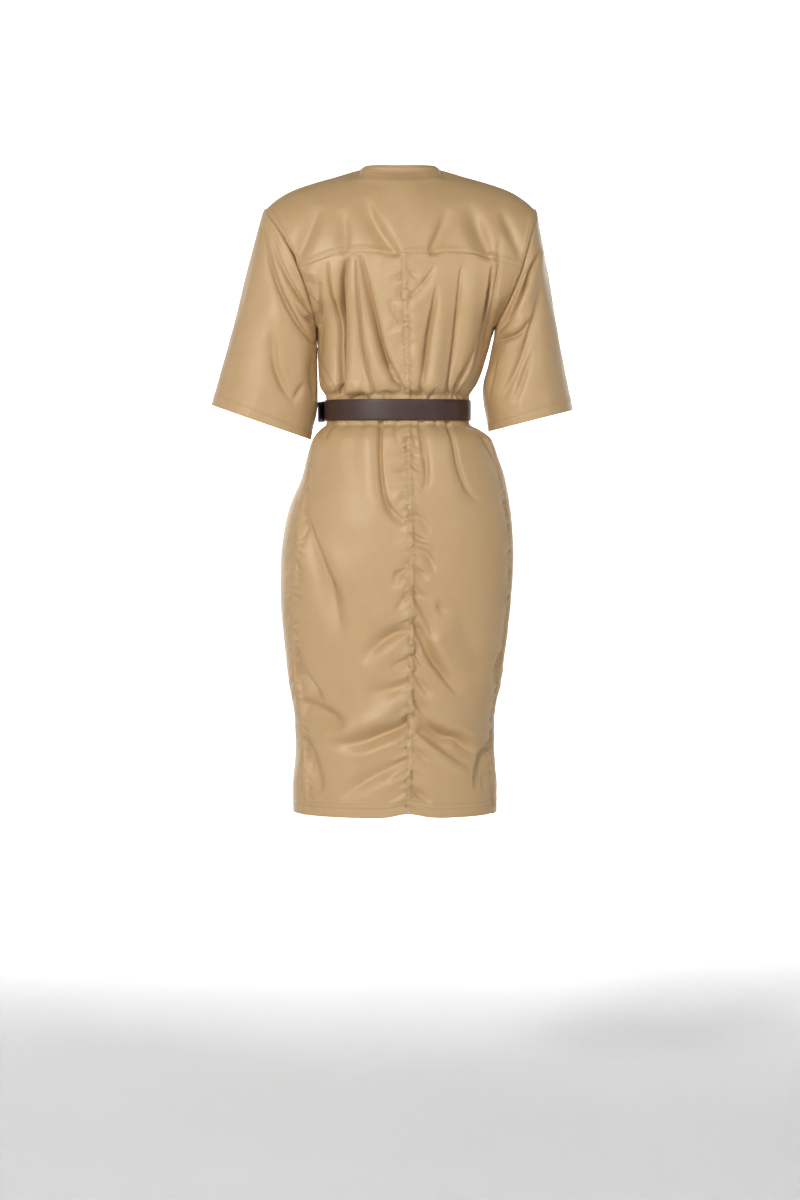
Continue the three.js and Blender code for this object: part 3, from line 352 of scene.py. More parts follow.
def top_height(x, back):
    inside = np.clip(1 - (x / NECK_HALF) ** 2, 0, 1)
    if back:
        low = mix(NECK_TOP, NECK_TOP - NECK_BACK_DROP, inside)
    else:
        low = NECK_TOP - NECK_FRONT_DROP * inside ** 0.75
    return np.where(x >= NECK_HALF, look_up(SHOULDER_LINE, "x", "z", x), low)


def neck_depth(x, back, rise):
    below = 1 - rise
    inside = np.clip(1 - (x / (NECK_HALF * (1 + 1.6 * below))) ** 2, 0, 1)
    depth = NECK_BACK_DEPTH if back else NECK_FRONT_DEPTH
    return depth * inside ** mix(0.5, 2.0, smooth(below / 0.12))


def section(angle):
    power = 2 / SQUARENESS
    return np.abs(np.sin(angle)) ** power, np.abs(np.cos(angle)) ** power


def body_half(angle, level, back):
    """Points of one half, back or front, at angles from the centre back and levels."""
    sign = np.where(angle < 0, -1.0, 1.0)
    towards = 1.0 if back else -1.0
    name = "back" if back else "front"
    across, depth = section(angle)
    z_low = UNDERARM_Z + np.minimum(level, 0.0)
    half = np.where(angle < 0, look_up(BODY, "z", "right", z_low),
                    look_up(BODY, "z", "left", z_low))
    x_low = sign * half * across
    y_low = towards * look_up(BODY, "z", name, z_low) * depth
    if back:
        away = (x_low - look_up(CENTRE_BACK, "z", "x", z_low)) / CENTRE_BACK_LIFT_WIDTH
        lower = smooth((CENTRE_BACK_LIFT_FROM_Z - z_low) / (CENTRE_BACK_LIFT_FROM_Z - HEM_Z))
        z_low = z_low + CENTRE_BACK_LIFT * np.exp(-away ** 2) * lower
    up = np.clip(level, 0.0, 1.0)
    rise = (1 - np.cos(np.pi * up)) / 2
    left, right = ARMHOLE[1], ARMHOLE[-1]
    bow = np.where(angle < 0, right["bow_" + name], left["bow_" + name]) * 4 * rise * (1 - rise)
    low_x = np.where(angle < 0, right["low_x"], left["low_x"])
    edge_x = mix(SHOULDER_HALF, low_x, 1 - rise + bow)
    edge_y = left[name] * np.sin(np.pi * up)
    top_x = SHOULDER_HALF * across
    low_depth = BODY[name][0]
    rounding = np.clip(1 - rise ** 3, 0, 1) ** (1 / CHEST_ROUND)
    if back:
        steep = np.minimum(rounding, NECK_STEEPNESS * (1 - rise))
        rounding = mix(rounding, steep, smooth((100.0 - top_x) / 40.0))
    middle_y = mix(neck_depth(top_x, back, rise), low_depth, rounding)
    x_up = sign * edge_x * across
    top = top_height(top_x, back)
    spread = sum(top_height(np.abs(top_x + step), back) for step in NECK_SPREAD) / len(NECK_SPREAD)
    top = mix(spread, top, rise ** 10)
    z_up = mix(UNDERARM_Z, top, rise)
    eased = mix(1.0, smooth((z_up - UNDERARM_Z) / 45.0), smooth(depth / 0.35))
    y_up = towards * (middle_y * depth + edge_y * (1 - depth) * eased)
    high = level > 0
    return np.stack([np.where(high, x_up, x_low), np.where(high, y_up, y_low),
                     np.where(high, z_up, z_low)], axis=-1)


def body_points(angle, level):
    angle, level = np.broadcast_arrays(np.asarray(angle, float), np.asarray(level, float))
    is_back = (np.abs(angle) <= QUARTER)[..., None]
    return np.where(is_back, body_half(angle, level, True), body_half(angle, level, False))


def angle_across(x, level, back):
    """The angle at which the body has a place across."""
    sign = np.where(x < 0, -1.0, 1.0)
    side = body_half(sign * QUARTER, level, back)[..., 0]
    share = np.clip(np.abs(x / side), HIDDEN, 1)
    angle = np.arcsin(share ** (SQUARENESS / 2))
    return sign * (angle if back else 2 * QUARTER - angle)


def yoke_level(angle):
    across, _ = section(angle)
    return np.arccos(1 - 2 * look_up(YOKE_SEAM, "share", "rise", across)) / np.pi


def seen_at(points):
    """Pixels of the photograph at which the camera sees points."""
    pitch = math.atan2(CAMERA_Z - AIM_Z, CAMERA_AWAY)
    away = CAMERA_AWAY - points[..., 1]
    drop = points[..., 2] - CAMERA_Z
    forward = away * math.cos(pitch) - drop * math.sin(pitch)
    up = drop * math.cos(pitch) + away * math.sin(pitch)
    return (PHOTO[0] / 2 - FOCAL_PX * points[..., 0] / forward,
            PHOTO[1] / 2 - FOCAL_PX * up / forward)


def spline(knots, steps=5):
    """A finer line of knots along a smooth curve through them."""
    knots = np.array(knots, dtype=float)
    padded = np.vstack([2 * knots[0] - knots[1], knots, 2 * knots[-1] - knots[-2]])
    out = []
    for a, b, c, d in zip(padded, padded[1:], padded[2:], padded[3:]):
        for i in range(steps):
            t = i / steps
            out.append(0.5 * (2 * b + (c - a) * t + (2 * a - 5 * b + 4 * c - d) * t * t
                              + (3 * b - a - 3 * c + d) * t ** 3))
    out.append(knots[-1])
    return np.array(out)


CREASE_SHARE = 0.38
NARROWEST = 1.4
# How much of its depth a trough gets as a soft form and as a narrow crease along its middle,
# and how much of its height a ridge gets
SOFT_FOLD = (3.0, 0.3, 1.7)
PLEAT = (0.75, 1.7, 1.05)
DRAWN_FOLD = (0.5, 1.1, 0.8)
DRAG_FOLD = (2.5, 0.4, 1.6)


def fold_shift(folds, px, py, soft, creased, ridged):
    """How far folds move the cloth out at places seen by the camera."""
    shift = np.zeros(px.shape)
    for skew, knots in folds:
        line = spline(knots)
        reach = 3.2 * line[:, 3].max()
        near = ((px > line[:, 0].min() - reach) & (px < line[:, 0].max() + reach)
                & (py > line[:, 1].min() - reach) & (py < line[:, 1].max() + reach))
        if not near.any():
            continue
        x, y = px[near], py[near]
        best = np.full(x.shape, np.inf)
        value = np.zeros(x.shape)
        for a, b in zip(line, line[1:]):
            run = b[:2] - a[:2]
            t = np.clip(((x - a[0]) * run[0] + (y - a[1]) * run[1]) / (run @ run), 0, 1)
            dx, dy = x - a[0] - t * run[0], y - a[1] - t * run[1]
            distance = np.hypot(dx, dy)
            side = np.sign(run[1] * dx - run[0] * dy)
            width = mix(a[3], b[3], t) * (1 - skew * side)
            narrow = np.maximum(CREASE_SHARE * width, NARROWEST)
            depth = mix(a[2], b[2], t)
            wide_form = np.exp(-(distance / width) ** 2)
            trough = soft[near] * wide_form + creased[near] * np.exp(-(distance / narrow) ** 2)
            closer = distance < best
            best[closer] = distance[closer]
            value[closer] = (depth * np.where(depth < 0, trough, ridged[near] * wide_form))[closer]
        shift[near] += value
    return shift


def value_noise(x, y, seed, size=64):
    """Smooth noise from -1 to 1 over a plane, the same on every run."""
    lattice = np.random.default_rng(seed).uniform(-1, 1, (size, size))
    i, j = np.floor(x).astype(int), np.floor(y).astype(int)
    u, v = smooth(x - i), smooth(y - j)
    i0, i1, j0, j1 = i % size, (i + 1) % size, j % size, (j + 1) % size
    near, far = mix(lattice[i0, j0], lattice[i1, j0], u), mix(lattice[i0, j1], lattice[i1, j1], u)
    return mix(near, far, v)


def grid_normals(grid, closed=False):
    if closed:
        wrapped = np.concatenate([grid[:, -1:], grid, grid[:, :1]], axis=1)
        across = (wrapped[:, 2:] - wrapped[:, :-2])
    else:
        across = np.gradient(grid, axis=1)
    normal = np.cross(across, np.gradient(grid, axis=0))
    length = np.linalg.norm(normal, axis=-1, keepdims=True)
    return normal / np.maximum(length, 1e-9)


def outwards(normals, reference):
    """The same normals, all turned to the side of the reference."""
    sign = np.sign((normals * reference).sum(axis=-1, keepdims=True))
    return normals * np.where(sign == 0, 1, sign)


def unit(vectors):
    return vectors / np.linalg.norm(vectors, axis=-1, keepdims=True)


def moved_out(base, normals, shift, closed=False):
    """A grid moved out along its normals, and its new normals."""
    grid = base + normals * shift[..., None]
    return grid, outwards(grid_normals(grid, closed), normals)


def circle(count):
    return np.linspace(0, 2 * np.pi, count, endpoint=False)


def ring(middle, across, along, radius, count):
    return [middle + (across * math.cos(a) + along * math.sin(a)) * radius for a in circle(count)]


def quads(rows, count, first=0, closed=True, loop=False):
    """Faces between rows of points. Closed rows and a loop of rows end where they began."""
    i, j = np.meshgrid(np.arange(rows if loop else rows - 1),
                       np.arange(count if closed else count - 1), indexing="ij")
    i, j = i.ravel(), j.ravel()
    low, high, k = first + i * count, first + (i + 1) % rows * count, (j + 1) % count
    return np.stack([low + j, low + k, high + k, high + j], 1)


def fan(first, count, middle):
    """Faces between a closed row of points and one point in its middle."""
    return [(first + j, first + (j + 1) % count, middle) for j in range(count)]


def new_mesh(name, vertices, faces, material):
    mesh = bpy.data.meshes.new(name)
    mesh.from_pydata([tuple(v) for v in np.asarray(vertices) * MM], [], faces)
    mesh.validate()
    mesh.update()
    mesh.polygons.foreach_set("use_smooth", [True] * len(mesh.polygons))
    made = bpy.data.objects.new(name, mesh)
    bpy.context.scene.collection.objects.link(made)
    mesh.materials.append(material)
    return made


def new_piece(name, vertices, faces, material):
    piece = new_mesh(name, vertices, faces, material)
    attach(piece, "root")
    return piece


def every_second(count, closed):
    """Every second place of a row, and its last one. A closed row ends where it began."""
    places = list(range(0, count - (0 if closed else 1), 2))
    return places + [count if closed else count - 1]


def cloth_piece(name, grid, normals, thickness, material, closed=False):
    """A thin closed shell whose outer face is the grid. Its hidden inner face is coarser."""
    rows, count = grid.shape[:2]
    outer = quads(rows, count, closed=closed)
    soft = grid.copy()
    soft[1:-1] = (grid[:-2] + 2 * grid[1:-1] + grid[2:]) / 4
    soft[:, 1:-1] = (soft[:, :-2] + 2 * soft[:, 1:-1] + soft[:, 2:]) / 4
    up, over = every_second(rows, False), every_second(count, closed)
    kept = over[:-1] if closed else over
    inner = (soft - normals * thickness)[up][:, kept].reshape(-1, 3)
    vertices = np.vstack([grid.reshape(-1, 3), inner])

    def out(row, column):
        return row * count + column % count

    def back(row, column):
        return rows * count + row * len(kept) + column % len(kept)

    faces = outer.tolist()
    last = len(up) - 1
    for n in range(last):
        for m in range(len(over) - 1):
            faces.append([back(n, m), back(n + 1, m), back(n + 1, m + 1), back(n, m + 1)])
    for m in range(len(over) - 1):
        run = [out(0, c) for c in range(over[m], over[m + 1] + 1)]
        faces.append(run[::-1] + [back(0, m), back(0, m + 1)])
        run = [out(rows - 1, c) for c in range(over[m], over[m + 1] + 1)]
        faces.append(run + [back(last, m + 1), back(last, m)])
    if not closed:
        end = len(kept) - 1
        for n in range(last):
            run = [out(r, 0) for r in range(up[n], up[n + 1] + 1)]
            faces.append(run + [back(n + 1, 0), back(n, 0)])
            run = [out(r, count - 1) for r in range(up[n], up[n + 1] + 1)]
            faces.append(run[::-1] + [back(n, end), back(n + 1, end)])
    corners = vertices[outer]
    faced = np.cross(corners[:, 1] - corners[:, 0], corners[:, 2] - corners[:, 0])
    if (faced * normals.reshape(-1, 3)[outer[:, 0]]).sum() < 0:
        faces = [face[::-1] for face in faces]
    return new_piece(name, vertices, faces, material)


# Stitches: small lozenges laid along a line of points on the cloth
STITCH_PITCH = 3.1
STITCH_LENGTH = 2.3
STITCH_HALF_WIDTH = 0.45
STITCH_HEIGHT = 0.32
stitch_vertices = []
stitch_faces = []


def stitch_line(points, normals):
    """Adds a row of stitches along points, each lying on the cloth along its normal."""
    steps = np.linalg.norm(np.diff(points, axis=0), axis=1)
    run = np.concatenate([[0.0], np.cumsum(steps)])
    places = np.arange(STITCH_PITCH / 2, run[-1] - STITCH_PITCH / 2, STITCH_PITCH)
    if len(places) == 0:
        return

    def at(values, s):
        return np.stack([np.interp(s, run, values[:, k]) for k in range(3)], axis=1)

    middle = at(points, places)
    ahead = at(points, places + STITCH_LENGTH / 2)
    behind = at(points, places - STITCH_LENGTH / 2)
    up = unit(at(normals, places))
    side = np.cross(ahead - behind, up)
    side /= np.maximum(np.linalg.norm(side, axis=1, keepdims=True), 1e-9)
    lift = up * STITCH_HEIGHT
    corners = [behind - up * 0.1, middle + side * STITCH_HALF_WIDTH + lift * 0.3, ahead - up * 0.1,
               middle - side * STITCH_HALF_WIDTH + lift * 0.3, middle + lift, middle - up * 0.2]
    first = sum(len(block) for block in stitch_vertices)
    stitch_vertices.append(np.stack(corners, axis=1).reshape(-1, 3))
    shape = np.array([(0, 1, 4), (1, 2, 4), (2, 3, 4), (3, 0, 4),
                      (1, 0, 5), (2, 1, 5), (3, 2, 5), (0, 3, 5)])
    stitch_faces.append((np.arange(len(places))[:, None, None] * 6 + shape + first).reshape(-1, 3))


def stitch_columns(grid, normals, places):
    for j in places:
        stitch_line(grid[:, j], normals[:, j])


def stitch_rows(grid, normals, places):
    for i in places:
        stitch_line(grid[i], normals[i])


def stitches_piece(name, material):
    faces = np.concatenate(stitch_faces)
    return new_piece(name, np.vstack(stitch_vertices), faces.tolist(), material)


def clear_of_belt(z, margin=1.5, fade=9.0):
    return smooth((np.abs(z - BELT_Z) - BELT_HALF - margin) / fade)


def kept_under_belt(shift, z):
    """Troughs run on under the belt, and ridges sink before they reach it."""
    return np.where(shift < 0, shift, shift * clear_of_belt(z, -1.0, 7.0))


# Seam construction: a felled band of cloth, its two rows of stitches, and the puckers of a seam.
# Steps are the distances of rows or columns of points from an edge.
BAND = 10.0
BAND_LIFT = 1.1
STITCH_ROWS = (2.0, 8.2)
UNDER_LIFT = -0.3
SHORT_EDGE_STEPS = [0, 0.8, 2.0, 3.2, 4.8, 6.6, 8.2, 9.2, 10.4, 12.5, 16.0]
EDGE_STEPS = SHORT_EDGE_STEPS[:9] + [12.0, 14.0, 16.5, 19.5, 23.0, 27.0, 31.5]
YOKE_STEPS = SHORT_EDGE_STEPS[:10] + [15.5]


def stitched(steps, rows):
    """Which of the steps are rows of stitches."""
    return [i for i, step in enumerate(steps) if step in rows]


EDGE_STITCHES = stitched(EDGE_STEPS, STITCH_ROWS)
FAR_STITCHES = [-1 - i for i in EDGE_STITCHES]


def sunk(distance, rows, depth, width):
    """How far the cloth sinks in along its rows of stitches."""
    return sum(depth * np.exp(-((distance - row) / width) ** 2) for row in rows)


def band_lift(distance):
    """Height of a felled band over the cloth."""
    lift = BAND_LIFT * smooth((BAND + 1.0 - distance) / 1.6)
    return lift - sunk(distance, STITCH_ROWS, 0.6, 0.95)


def puckers(distance, run, seed, reach=9.0, pitch=3.1, slant=0.45):
    """The ripples of cloth drawn together by a row of stitches, running down from the seam."""
    fine = value_noise((run - 0.15 * distance) / pitch, distance / 14.0 + 7.0, seed)
    wide = value_noise((run - slant * distance) / (2.7 * pitch), distance / 24.0, seed + 1)
    return (0.75 * fine * np.exp(-(distance / reach) ** 2)
            + 1.7 * wide * np.exp(-(distance / (2.4 * reach)) ** 2))


def ruches(distance, run, seed, width=15.0, pitch=6.5):
    """Short sharp folds across a seam that is drawn together like a ladder."""
    wave = value_noise((run - 0.35 * distance) / pitch, distance / 22.0 + 3.0, seed)
    return (0.8 - 3.4 * (1 - np.abs(wave)) ** 2) * np.exp(-(distance / width) ** 4)


def spaced_angles(levels_at, start, end, rows, near_start, middle, near_end, samples=260):
    """Angles of the columns of each row, set by their distances along the cloth from its edges."""
    share = np.linspace(0, 1, samples)
    dense = start[:, None] + (end - start)[:, None] * share[None, :]
    points = body_points(dense, levels_at(dense))
    steps = np.linalg.norm(np.diff(points, axis=1), axis=2)
    run = np.concatenate([np.zeros((rows, 1)), np.cumsum(steps, axis=1)], axis=1)
    angles, distances = [], []
    for i in range(rows):
        total = run[i, -1]
        near, far = np.array(near_start, float), total - np.array(near_end, float)[::-1]
        between = np.linspace(near[-1], far[0], middle + 2)[1:-1]
        places = np.concatenate([near, between, far])
        angles.append(np.interp(places, run[i], dense[i]))
        distances.append(np.stack([places, total - places]))
    distances = np.array(distances)
    return np.array(angles), distances[:, 0], distances[:, 1]


def outward_of(angle, rise=0.0):
    return np.stack([np.sin(angle), np.cos(angle), np.full(angle.shape, rise)], axis=-1)


def gathers(points, seed):
    """Small folds where the belt draws the cloth in."""
    away = np.abs(points[..., 2] - BELT_Z) - BELT_HALF
    round_body = np.arctan2(points[..., 0], points[..., 1]) * 100.0
    fine = value_noise(round_body / 6.5 + 20, points[..., 2] / 90.0, seed)
    wide = value_noise(round_body / 15.0 + 20, points[..., 2] / 120.0, seed + 1)
    return (2.0 * fine * np.exp(-np.maximum(away, 0) / 15.0)
            + 2.2 * wide * np.exp(-np.maximum(away, 0) / 36.0))


def undulation(points, seed):
    """The slight unevenness of worn cotton."""
    x, y, z = points[..., 0], points[..., 1], points[..., 2]
    round_body = np.arctan2(x, y) * 130.0
    bodice = smooth((z - BELT_Z) / 40.0)
    above = 0.9 * value_noise(round_body / 24.0 + 9, z / 130.0 + 3, seed)
    below = 1.2 * value_noise(round_body / 75.0 + 9, z / 62.0 + 3, seed + 1)
    small = 0.22 * value_noise(round_body / 15.0, z / 19.0, seed + 2)
    return (above * bodice + below * (1 - bodice) + small) * clear_of_belt(z)


def shaped(points, folds, upper, lower):
    """Folds of one kind down to the hips and of another kind below."""
    px, py = seen_at(points)
    high = smooth((530.0 - py) / 50.0)
    return fold_shift(folds, px, py, *(mix(low, up, high) for low, up in zip(lower, upper)))


def turned(points):
    """Points of the front, turned to where the camera would see them as it sees the back."""
    return points * np.array([-1.0, -1.0, 1.0])


def facing(normals, towards):
    return smooth((normals[..., 1] * towards - 0.06) / 0.5)


# Materials
def srgb(r, g, b):
    def linear(c):
        c = c / 255.0
        return c / 12.92 if c <= 0.04045 else ((c + 0.055) / 1.055) ** 2.4
    return (linear(r), linear(g), linear(b), 1.0)


class Look:
    """A material, built up from nodes round its shader."""

    def __init__(self, name, color, roughness, **sockets):
        self.material = bpy.data.materials.new(name)
        self.material.use_nodes = True
        self.nodes, self.links = self.material.node_tree.nodes, self.material.node_tree.links
        self.shader = self.nodes["Principled BSDF"]
        for socket, value in dict(sockets, Base_Color=color, Roughness=roughness).items():
            self.shader.inputs[socket.replace("_", " ")].default_value = value

    def node(self, kind, **settings):
        node = self.nodes.new("ShaderNode" + kind)
        for key, value in settings.items():
            socket = key.replace("_", " ")
            if socket in node.inputs:
                node.inputs[socket].default_value = value
            else:
                setattr(node, key, value)
        return node

    def texture(self, kind, output="Fac", stretch=(1, 1, 1), turn=(0, 0, 0), **settings):
        """A texture on the object's own coordinates, turned and stretched."""
        texture = self.node("Tex" + kind, **settings)
        coordinates = self.node("TexCoord")
        mapping = self.node("Mapping", Scale=stretch, Rotation=turn)
        self.links.new(coordinates.outputs["Object"], mapping.inputs["Vector"])
        self.links.new(mapping.outputs["Vector"], texture.inputs["Vector"])
        return texture.outputs[output]

    def ranged(self, value, low, high, start, end):
        """A value that runs from start to end as another one runs from low to high."""
        ramp = self.node("MapRange", From_Min=low, From_Max=high, To_Min=start, To_Max=end)
        self.links.new(value, ramp.inputs["Value"])
        return ramp.outputs["Result"]

    def tint(self, color, value, strength, low=0.3, high=0.7):
        """The colour, made lighter or darker by a texture."""
        share = self.ranged(value, low, high, 1.0 - strength, 1.0 + strength)
        scaled = self.node("VectorMath", operation="SCALE")
        if isinstance(color, tuple):
            scaled.inputs[0].default_value = color[:3]
        else:
            self.links.new(color, scaled.inputs[0])
        self.links.new(share, scaled.inputs["Scale"])
        return scaled.outputs["Vector"]

    def bump(self, height, strength, distance, under=None):
        node = self.node("Bump", Strength=strength, Distance=distance)
        self.links.new(height, node.inputs["Height"])
        if under is not None:
            self.links.new(under, node.inputs["Normal"])
        return node.outputs["Normal"]

    def linked(self, **outputs):
        """The material, with these outputs linked to its shader."""
        for socket, output in outputs.items():
            self.links.new(output, self.shader.inputs[socket.replace("_", " ")])
        return self.material


def cloth_material(name, color):
    look = Look(name, color, 0.44, Sheen_Weight=0.02, Sheen_Roughness=0.5,
                Sheen_Tint=(1.0, 0.93, 0.82, 1.0), Specular_IOR_Level=0.45)
    twill = look.texture("Wave", turn=(0.0, 0.0, 0.3), wave_type="BANDS",
                         bands_direction="DIAGONAL", Scale=330.0, Distortion=0.6, Detail=1.0)
    yarn = look.texture("Noise", stretch=(1, 1, 0.35), Scale=900.0, Detail=2.0)
    slub = look.texture("Noise", Scale=26.0, Detail=4.0, Roughness=0.6)
    crease = look.texture("Noise", stretch=(1, 1, 0.5), Scale=60.0, Detail=3.0, Roughness=0.55)
    shade = look.tint(look.tint(color, slub, 0.022), yarn, 0.03)
    shade = look.tint(shade, twill, 0.02, 0.0, 1.0)
    normal = look.bump(twill, 0.25, 0.00018, look.bump(crease, 0.25, 0.0012))
    return look.linked(Base_Color=shade, Normal=look.bump(yarn, 0.2, 0.00015, normal))


def thread_material(name, color):
    look = Look(name, color, 0.55, Sheen_Weight=0.1)
    twist = look.texture("Wave", wave_type="BANDS", bands_direction="DIAGONAL", Scale=900.0)
    return look.linked(Base_Color=look.tint(color, twist, 0.1, 0.0, 1.0),
                       Normal=look.bump(twist, 0.4, 0.0002))


def leather_material(name, color):
    look = Look(name, color, 0.42, Coat_Weight=0.1, Coat_Roughness=0.35, Specular_IOR_Level=0.4)
    grain = look.texture("Voronoi", "Distance", Scale=620.0, feature="F1")
    pores = look.texture("Noise", Scale=240.0, Detail=5.0, Roughness=0.65)
    patches = look.texture("Noise", stretch=(1, 1, 2.5), Scale=22.0, Detail=3.0)
    return look.linked(Base_Color=look.tint(look.tint(color, patches, 0.12), pores, 0.1),
                       Roughness=look.ranged(pores, 0.0, 1.0, 0.34, 0.54),
                       Normal=look.bump(pores, 0.25, 0.0004, look.bump(grain, 0.25, 0.0003)))


def horn_material(name, color):
    look = Look(name, color, 0.28, Coat_Weight=0.3, Coat_Roughness=0.15)
    streaks = look.texture("Noise", stretch=(1, 1, 0.25), Scale=170.0, Detail=3.0, Distortion=1.2)
    return look.linked(Base_Color=look.tint(color, streaks, 0.3),
                       Normal=look.bump(streaks, 0.08, 0.0003))


def brass_material(name, color):
    look = Look(name, color, 0.3, Metallic=1.0)
    brushed = look.texture("Noise", stretch=(0.15, 1, 1), Scale=260.0, Detail=4.0)
    return look.linked(Base_Color=look.tint(color, brushed, 0.06),
                       Roughness=look.ranged(brushed, 0.0, 1.0, 0.2, 0.38),
                       Normal=look.bump(brushed, 0.08, 0.0002))


def paper_material(name, color):
    look = Look(name, color, 0.9)
    clouds = look.texture("Noise", Scale=3.0, Detail=2.0)
    return look.linked(Base_Color=look.tint(color, clouds, 0.008))


CLOTH_LOOK = cloth_material("cotton_twill", srgb(188, 156, 113))
# The thread is darker than the cloth: its own colour and painted shade, for the shade of the stitch
# grooves and needle holes
THREAD_AND_SHADE_LOOK = thread_material("thread", srgb(122, 92, 56))
LEATHER_LOOK = leather_material("belt_leather", srgb(64, 43, 38))
# Painted shade: the holes of belt and buttons are near-black discs that stand in for the shade
# inside them
HOLE_SHADE_LOOK = leather_material("belt_hole_shade", srgb(24, 17, 15))
HORN_LOOK = horn_material("button_horn", srgb(116, 84, 54))
BRASS_LOOK = brass_material("buckle_brass", srgb(196, 160, 100))


# Cloth of the body
ROW_STEP = 2.1
FRONT_ROW_STEP = 3.2
BODICE_RUN = 118
FRONT_RUN = 255
YOKE_RUN = 200.0
OVERLAP = 5.0
# Columns and rows of points between the finely spaced edges, and the samples that space them
BACK_COLUMNS = 134
FRONT_COLUMNS = 50
YOKE_COLUMNS = 110
YOKE_ROWS = 66
FINE_SAMPLES = 400
# Seeds of the noise in each back panel
BACK_SEEDS = {
    1: dict(gathers=29, uneven=17, centre=37, centre_ruches=107, side=43, side_ruches=113),
    -1: dict(gathers=23, uneven=11, centre=31, centre_ruches=103, side=41, side_ruches=109),
}
HEM_STEPS = [0, 0.9, 2.4, 5.0, 8.5, 12.0, 13.6, 14.6, 15.6, 18.0, 20.4, 21.5, 22.6, 24.0, 25.6]
HEM_ROWS = (14.6, 21.5)
HEM_STITCHES = stitched(HEM_STEPS, HEM_ROWS)


def lower_levels(step):
    """Levels of the rows from the hem up to the underarm."""
    length = UNDERARM_Z - HEM_Z
    near = np.array(HEM_STEPS, float)
    rest = np.linspace(near[-1], length, int((length - near[-1]) / step) + 1)[1:]
    return np.concatenate([near, rest]) - length


def hem_lift(levels):
    """The turned-up hem, with its two rows of stitches sunk in."""
    height = levels - (HEM_Z - UNDERARM_Z)
    return 0.5 * smooth((24.5 - height) / 1.5) - sunk(height, HEM_ROWS, 0.4, 0.9)


def level_shoulder(grid, normals):
    """Turns the normals of the top row level where it runs along the shoulder seam."""
    edge = np.abs(grid[-1, :, 0]) > NECK_HALF - 1
    normals[-1, edge, 1] = 0.0
    normals[-1, edge] = unit(normals[-1, edge])


def seam_angles(levels, sign):
    name = "seam_left" if sign > 0 else "seam_right"
    return np.radians(look_up(BODY, "z", name, UNDERARM_Z + np.minimum(levels, 0.0)))


def centre_seam_angle(levels, shift):
    z = body_half(np.zeros(levels.shape), levels, True)[..., 2]
    return angle_across(look_up(CENTRE_BACK, "z", "x", z) + shift, levels, True)


def pucker_strength(z):
    """How much the centre-back seam is drawn together: most below the waist, then mid-bodice."""
    low = 0.4 * smooth((BELT_Z + 60 - z) / 60.0)
    return 0.75 + low + 0.2 * smooth((BELT_Z + 110 - z) / 60.0) * smooth((z - BELT_Z) / 40.0)


def levels_up_to(share, level, angle):
    """Levels of rows above the underarm: even in height in the middle, even along the armhole."""
    even = np.arccos(1 - share * (1 - np.cos(np.pi * level))) / np.pi
    return mix(share * level, even, section(angle)[1])


def back_panel(sign):
    low = lower_levels(ROW_STEP)
    up_steps = int(BODICE_RUN / ROW_STEP)
    shares = np.linspace(0, 1.03, up_steps + 1)[1:]
    rows = len(low) + len(shares)
    level_low = np.concatenate([low, np.zeros(len(shares))])
    share_up = np.concatenate([np.zeros(len(low)), shares])

    def level_at(angle):
        return level_low[:, None] + levels_up_to(share_up[:, None], yoke_level(angle), angle)

    middle_levels = level_at(np.zeros((rows, 1)))[:, 0]
    over = sign < 0
    seeds = BACK_SEEDS[sign]
    start = centre_seam_angle(middle_levels, OVERLAP if over else OVERLAP - 8.0)
    end = sign * seam_angles(middle_levels, sign)
    angles, from_centre, from_side = spaced_angles(
        level_at, start, end, rows, EDGE_STEPS, BACK_COLUMNS, SHORT_EDGE_STEPS, FINE_SAMPLES)
    levels = level_at(angles)
    base = body_points(angles, levels)
    normals = outwards(grid_normals(base), outward_of(angles, 0.02))
    z = base[..., 2]
    free = clear_of_belt(z)
    shift = shaped(base, BODICE_FOLDS + ARMPIT_FOLDS, PLEAT, DRAG_FOLD)
    shift += shaped(base, SKIRT_FOLDS + SEAM_WRINKLES, DRAWN_FOLD, DRAG_FOLD)
    shift = shift * facing(normals, 1.0) * mix(0.12, 1.0, smooth((from_side - 4.0) / 14.0))
    below_seam = smooth((1.0 - share_up[:, None]) * BODICE_RUN / 9.0)
    shift = mix(shaped(base, YOKE_FOLDS, SOFT_FOLD, SOFT_FOLD), shift, below_seam)
    shift = kept_under_belt(shift + gathers(base, seeds["gathers"]), z)
    shift += undulation(base, seeds["uneven"])
    run = -z
    strength = pucker_strength(z) * free
    seam = np.abs(from_centre - OVERLAP) if over else np.maximum(from_centre - 8.0, 0)
    strength = strength * mix(0.3, 1.0, below_seam)
    shift += 1.3 * strength * puckers(seam, run, seeds["centre"], 8.0)
    shift += 0.35 * strength * ruches(seam, run, seeds["centre_ruches"], 9.0, 5.0)
    side_strength = (0.25 + 0.75 * smooth((SKIRT_FROM_Z - z) / 60.0)) * free
    off_edge = mix(0.25, 1.0, smooth((from_side - 6.0) / 6.0))
    drawn = puckers(np.abs(from_side - OVERLAP), run, seeds["side"], 8.0, 4.2, 0.2)
    drawn = drawn + 1.5 * ruches(from_side, run, seeds["side_ruches"], 22.0)
    shift += side_strength * off_edge * drawn
    if over:
        shift += band_lift(from_centre)
    else:
        shift += UNDER_LIFT * smooth((10.0 - from_centre) / 2.0)
    shift += 1.3 * band_lift(from_side)
    shift += hem_lift(levels)
    under_yoke = (share_up[:, None] - 1.0) * BODICE_RUN
    shift += UNDER_LIFT * smooth((under_yoke + 2.0) / 2.0)
    grid, normals = moved_out(base, normals, shift)
    name = "back_right_cloth" if over else "back_left_cloth"
    piece = cloth_piece(name, grid, normals, CLOTH, CLOTH_LOOK)
    if over:
        stitch_columns(grid, normals, EDGE_STITCHES)
    stitch_columns(grid, normals, FAR_STITCHES)
    stitch_rows(grid, normals, HEM_STITCHES)
    return piece


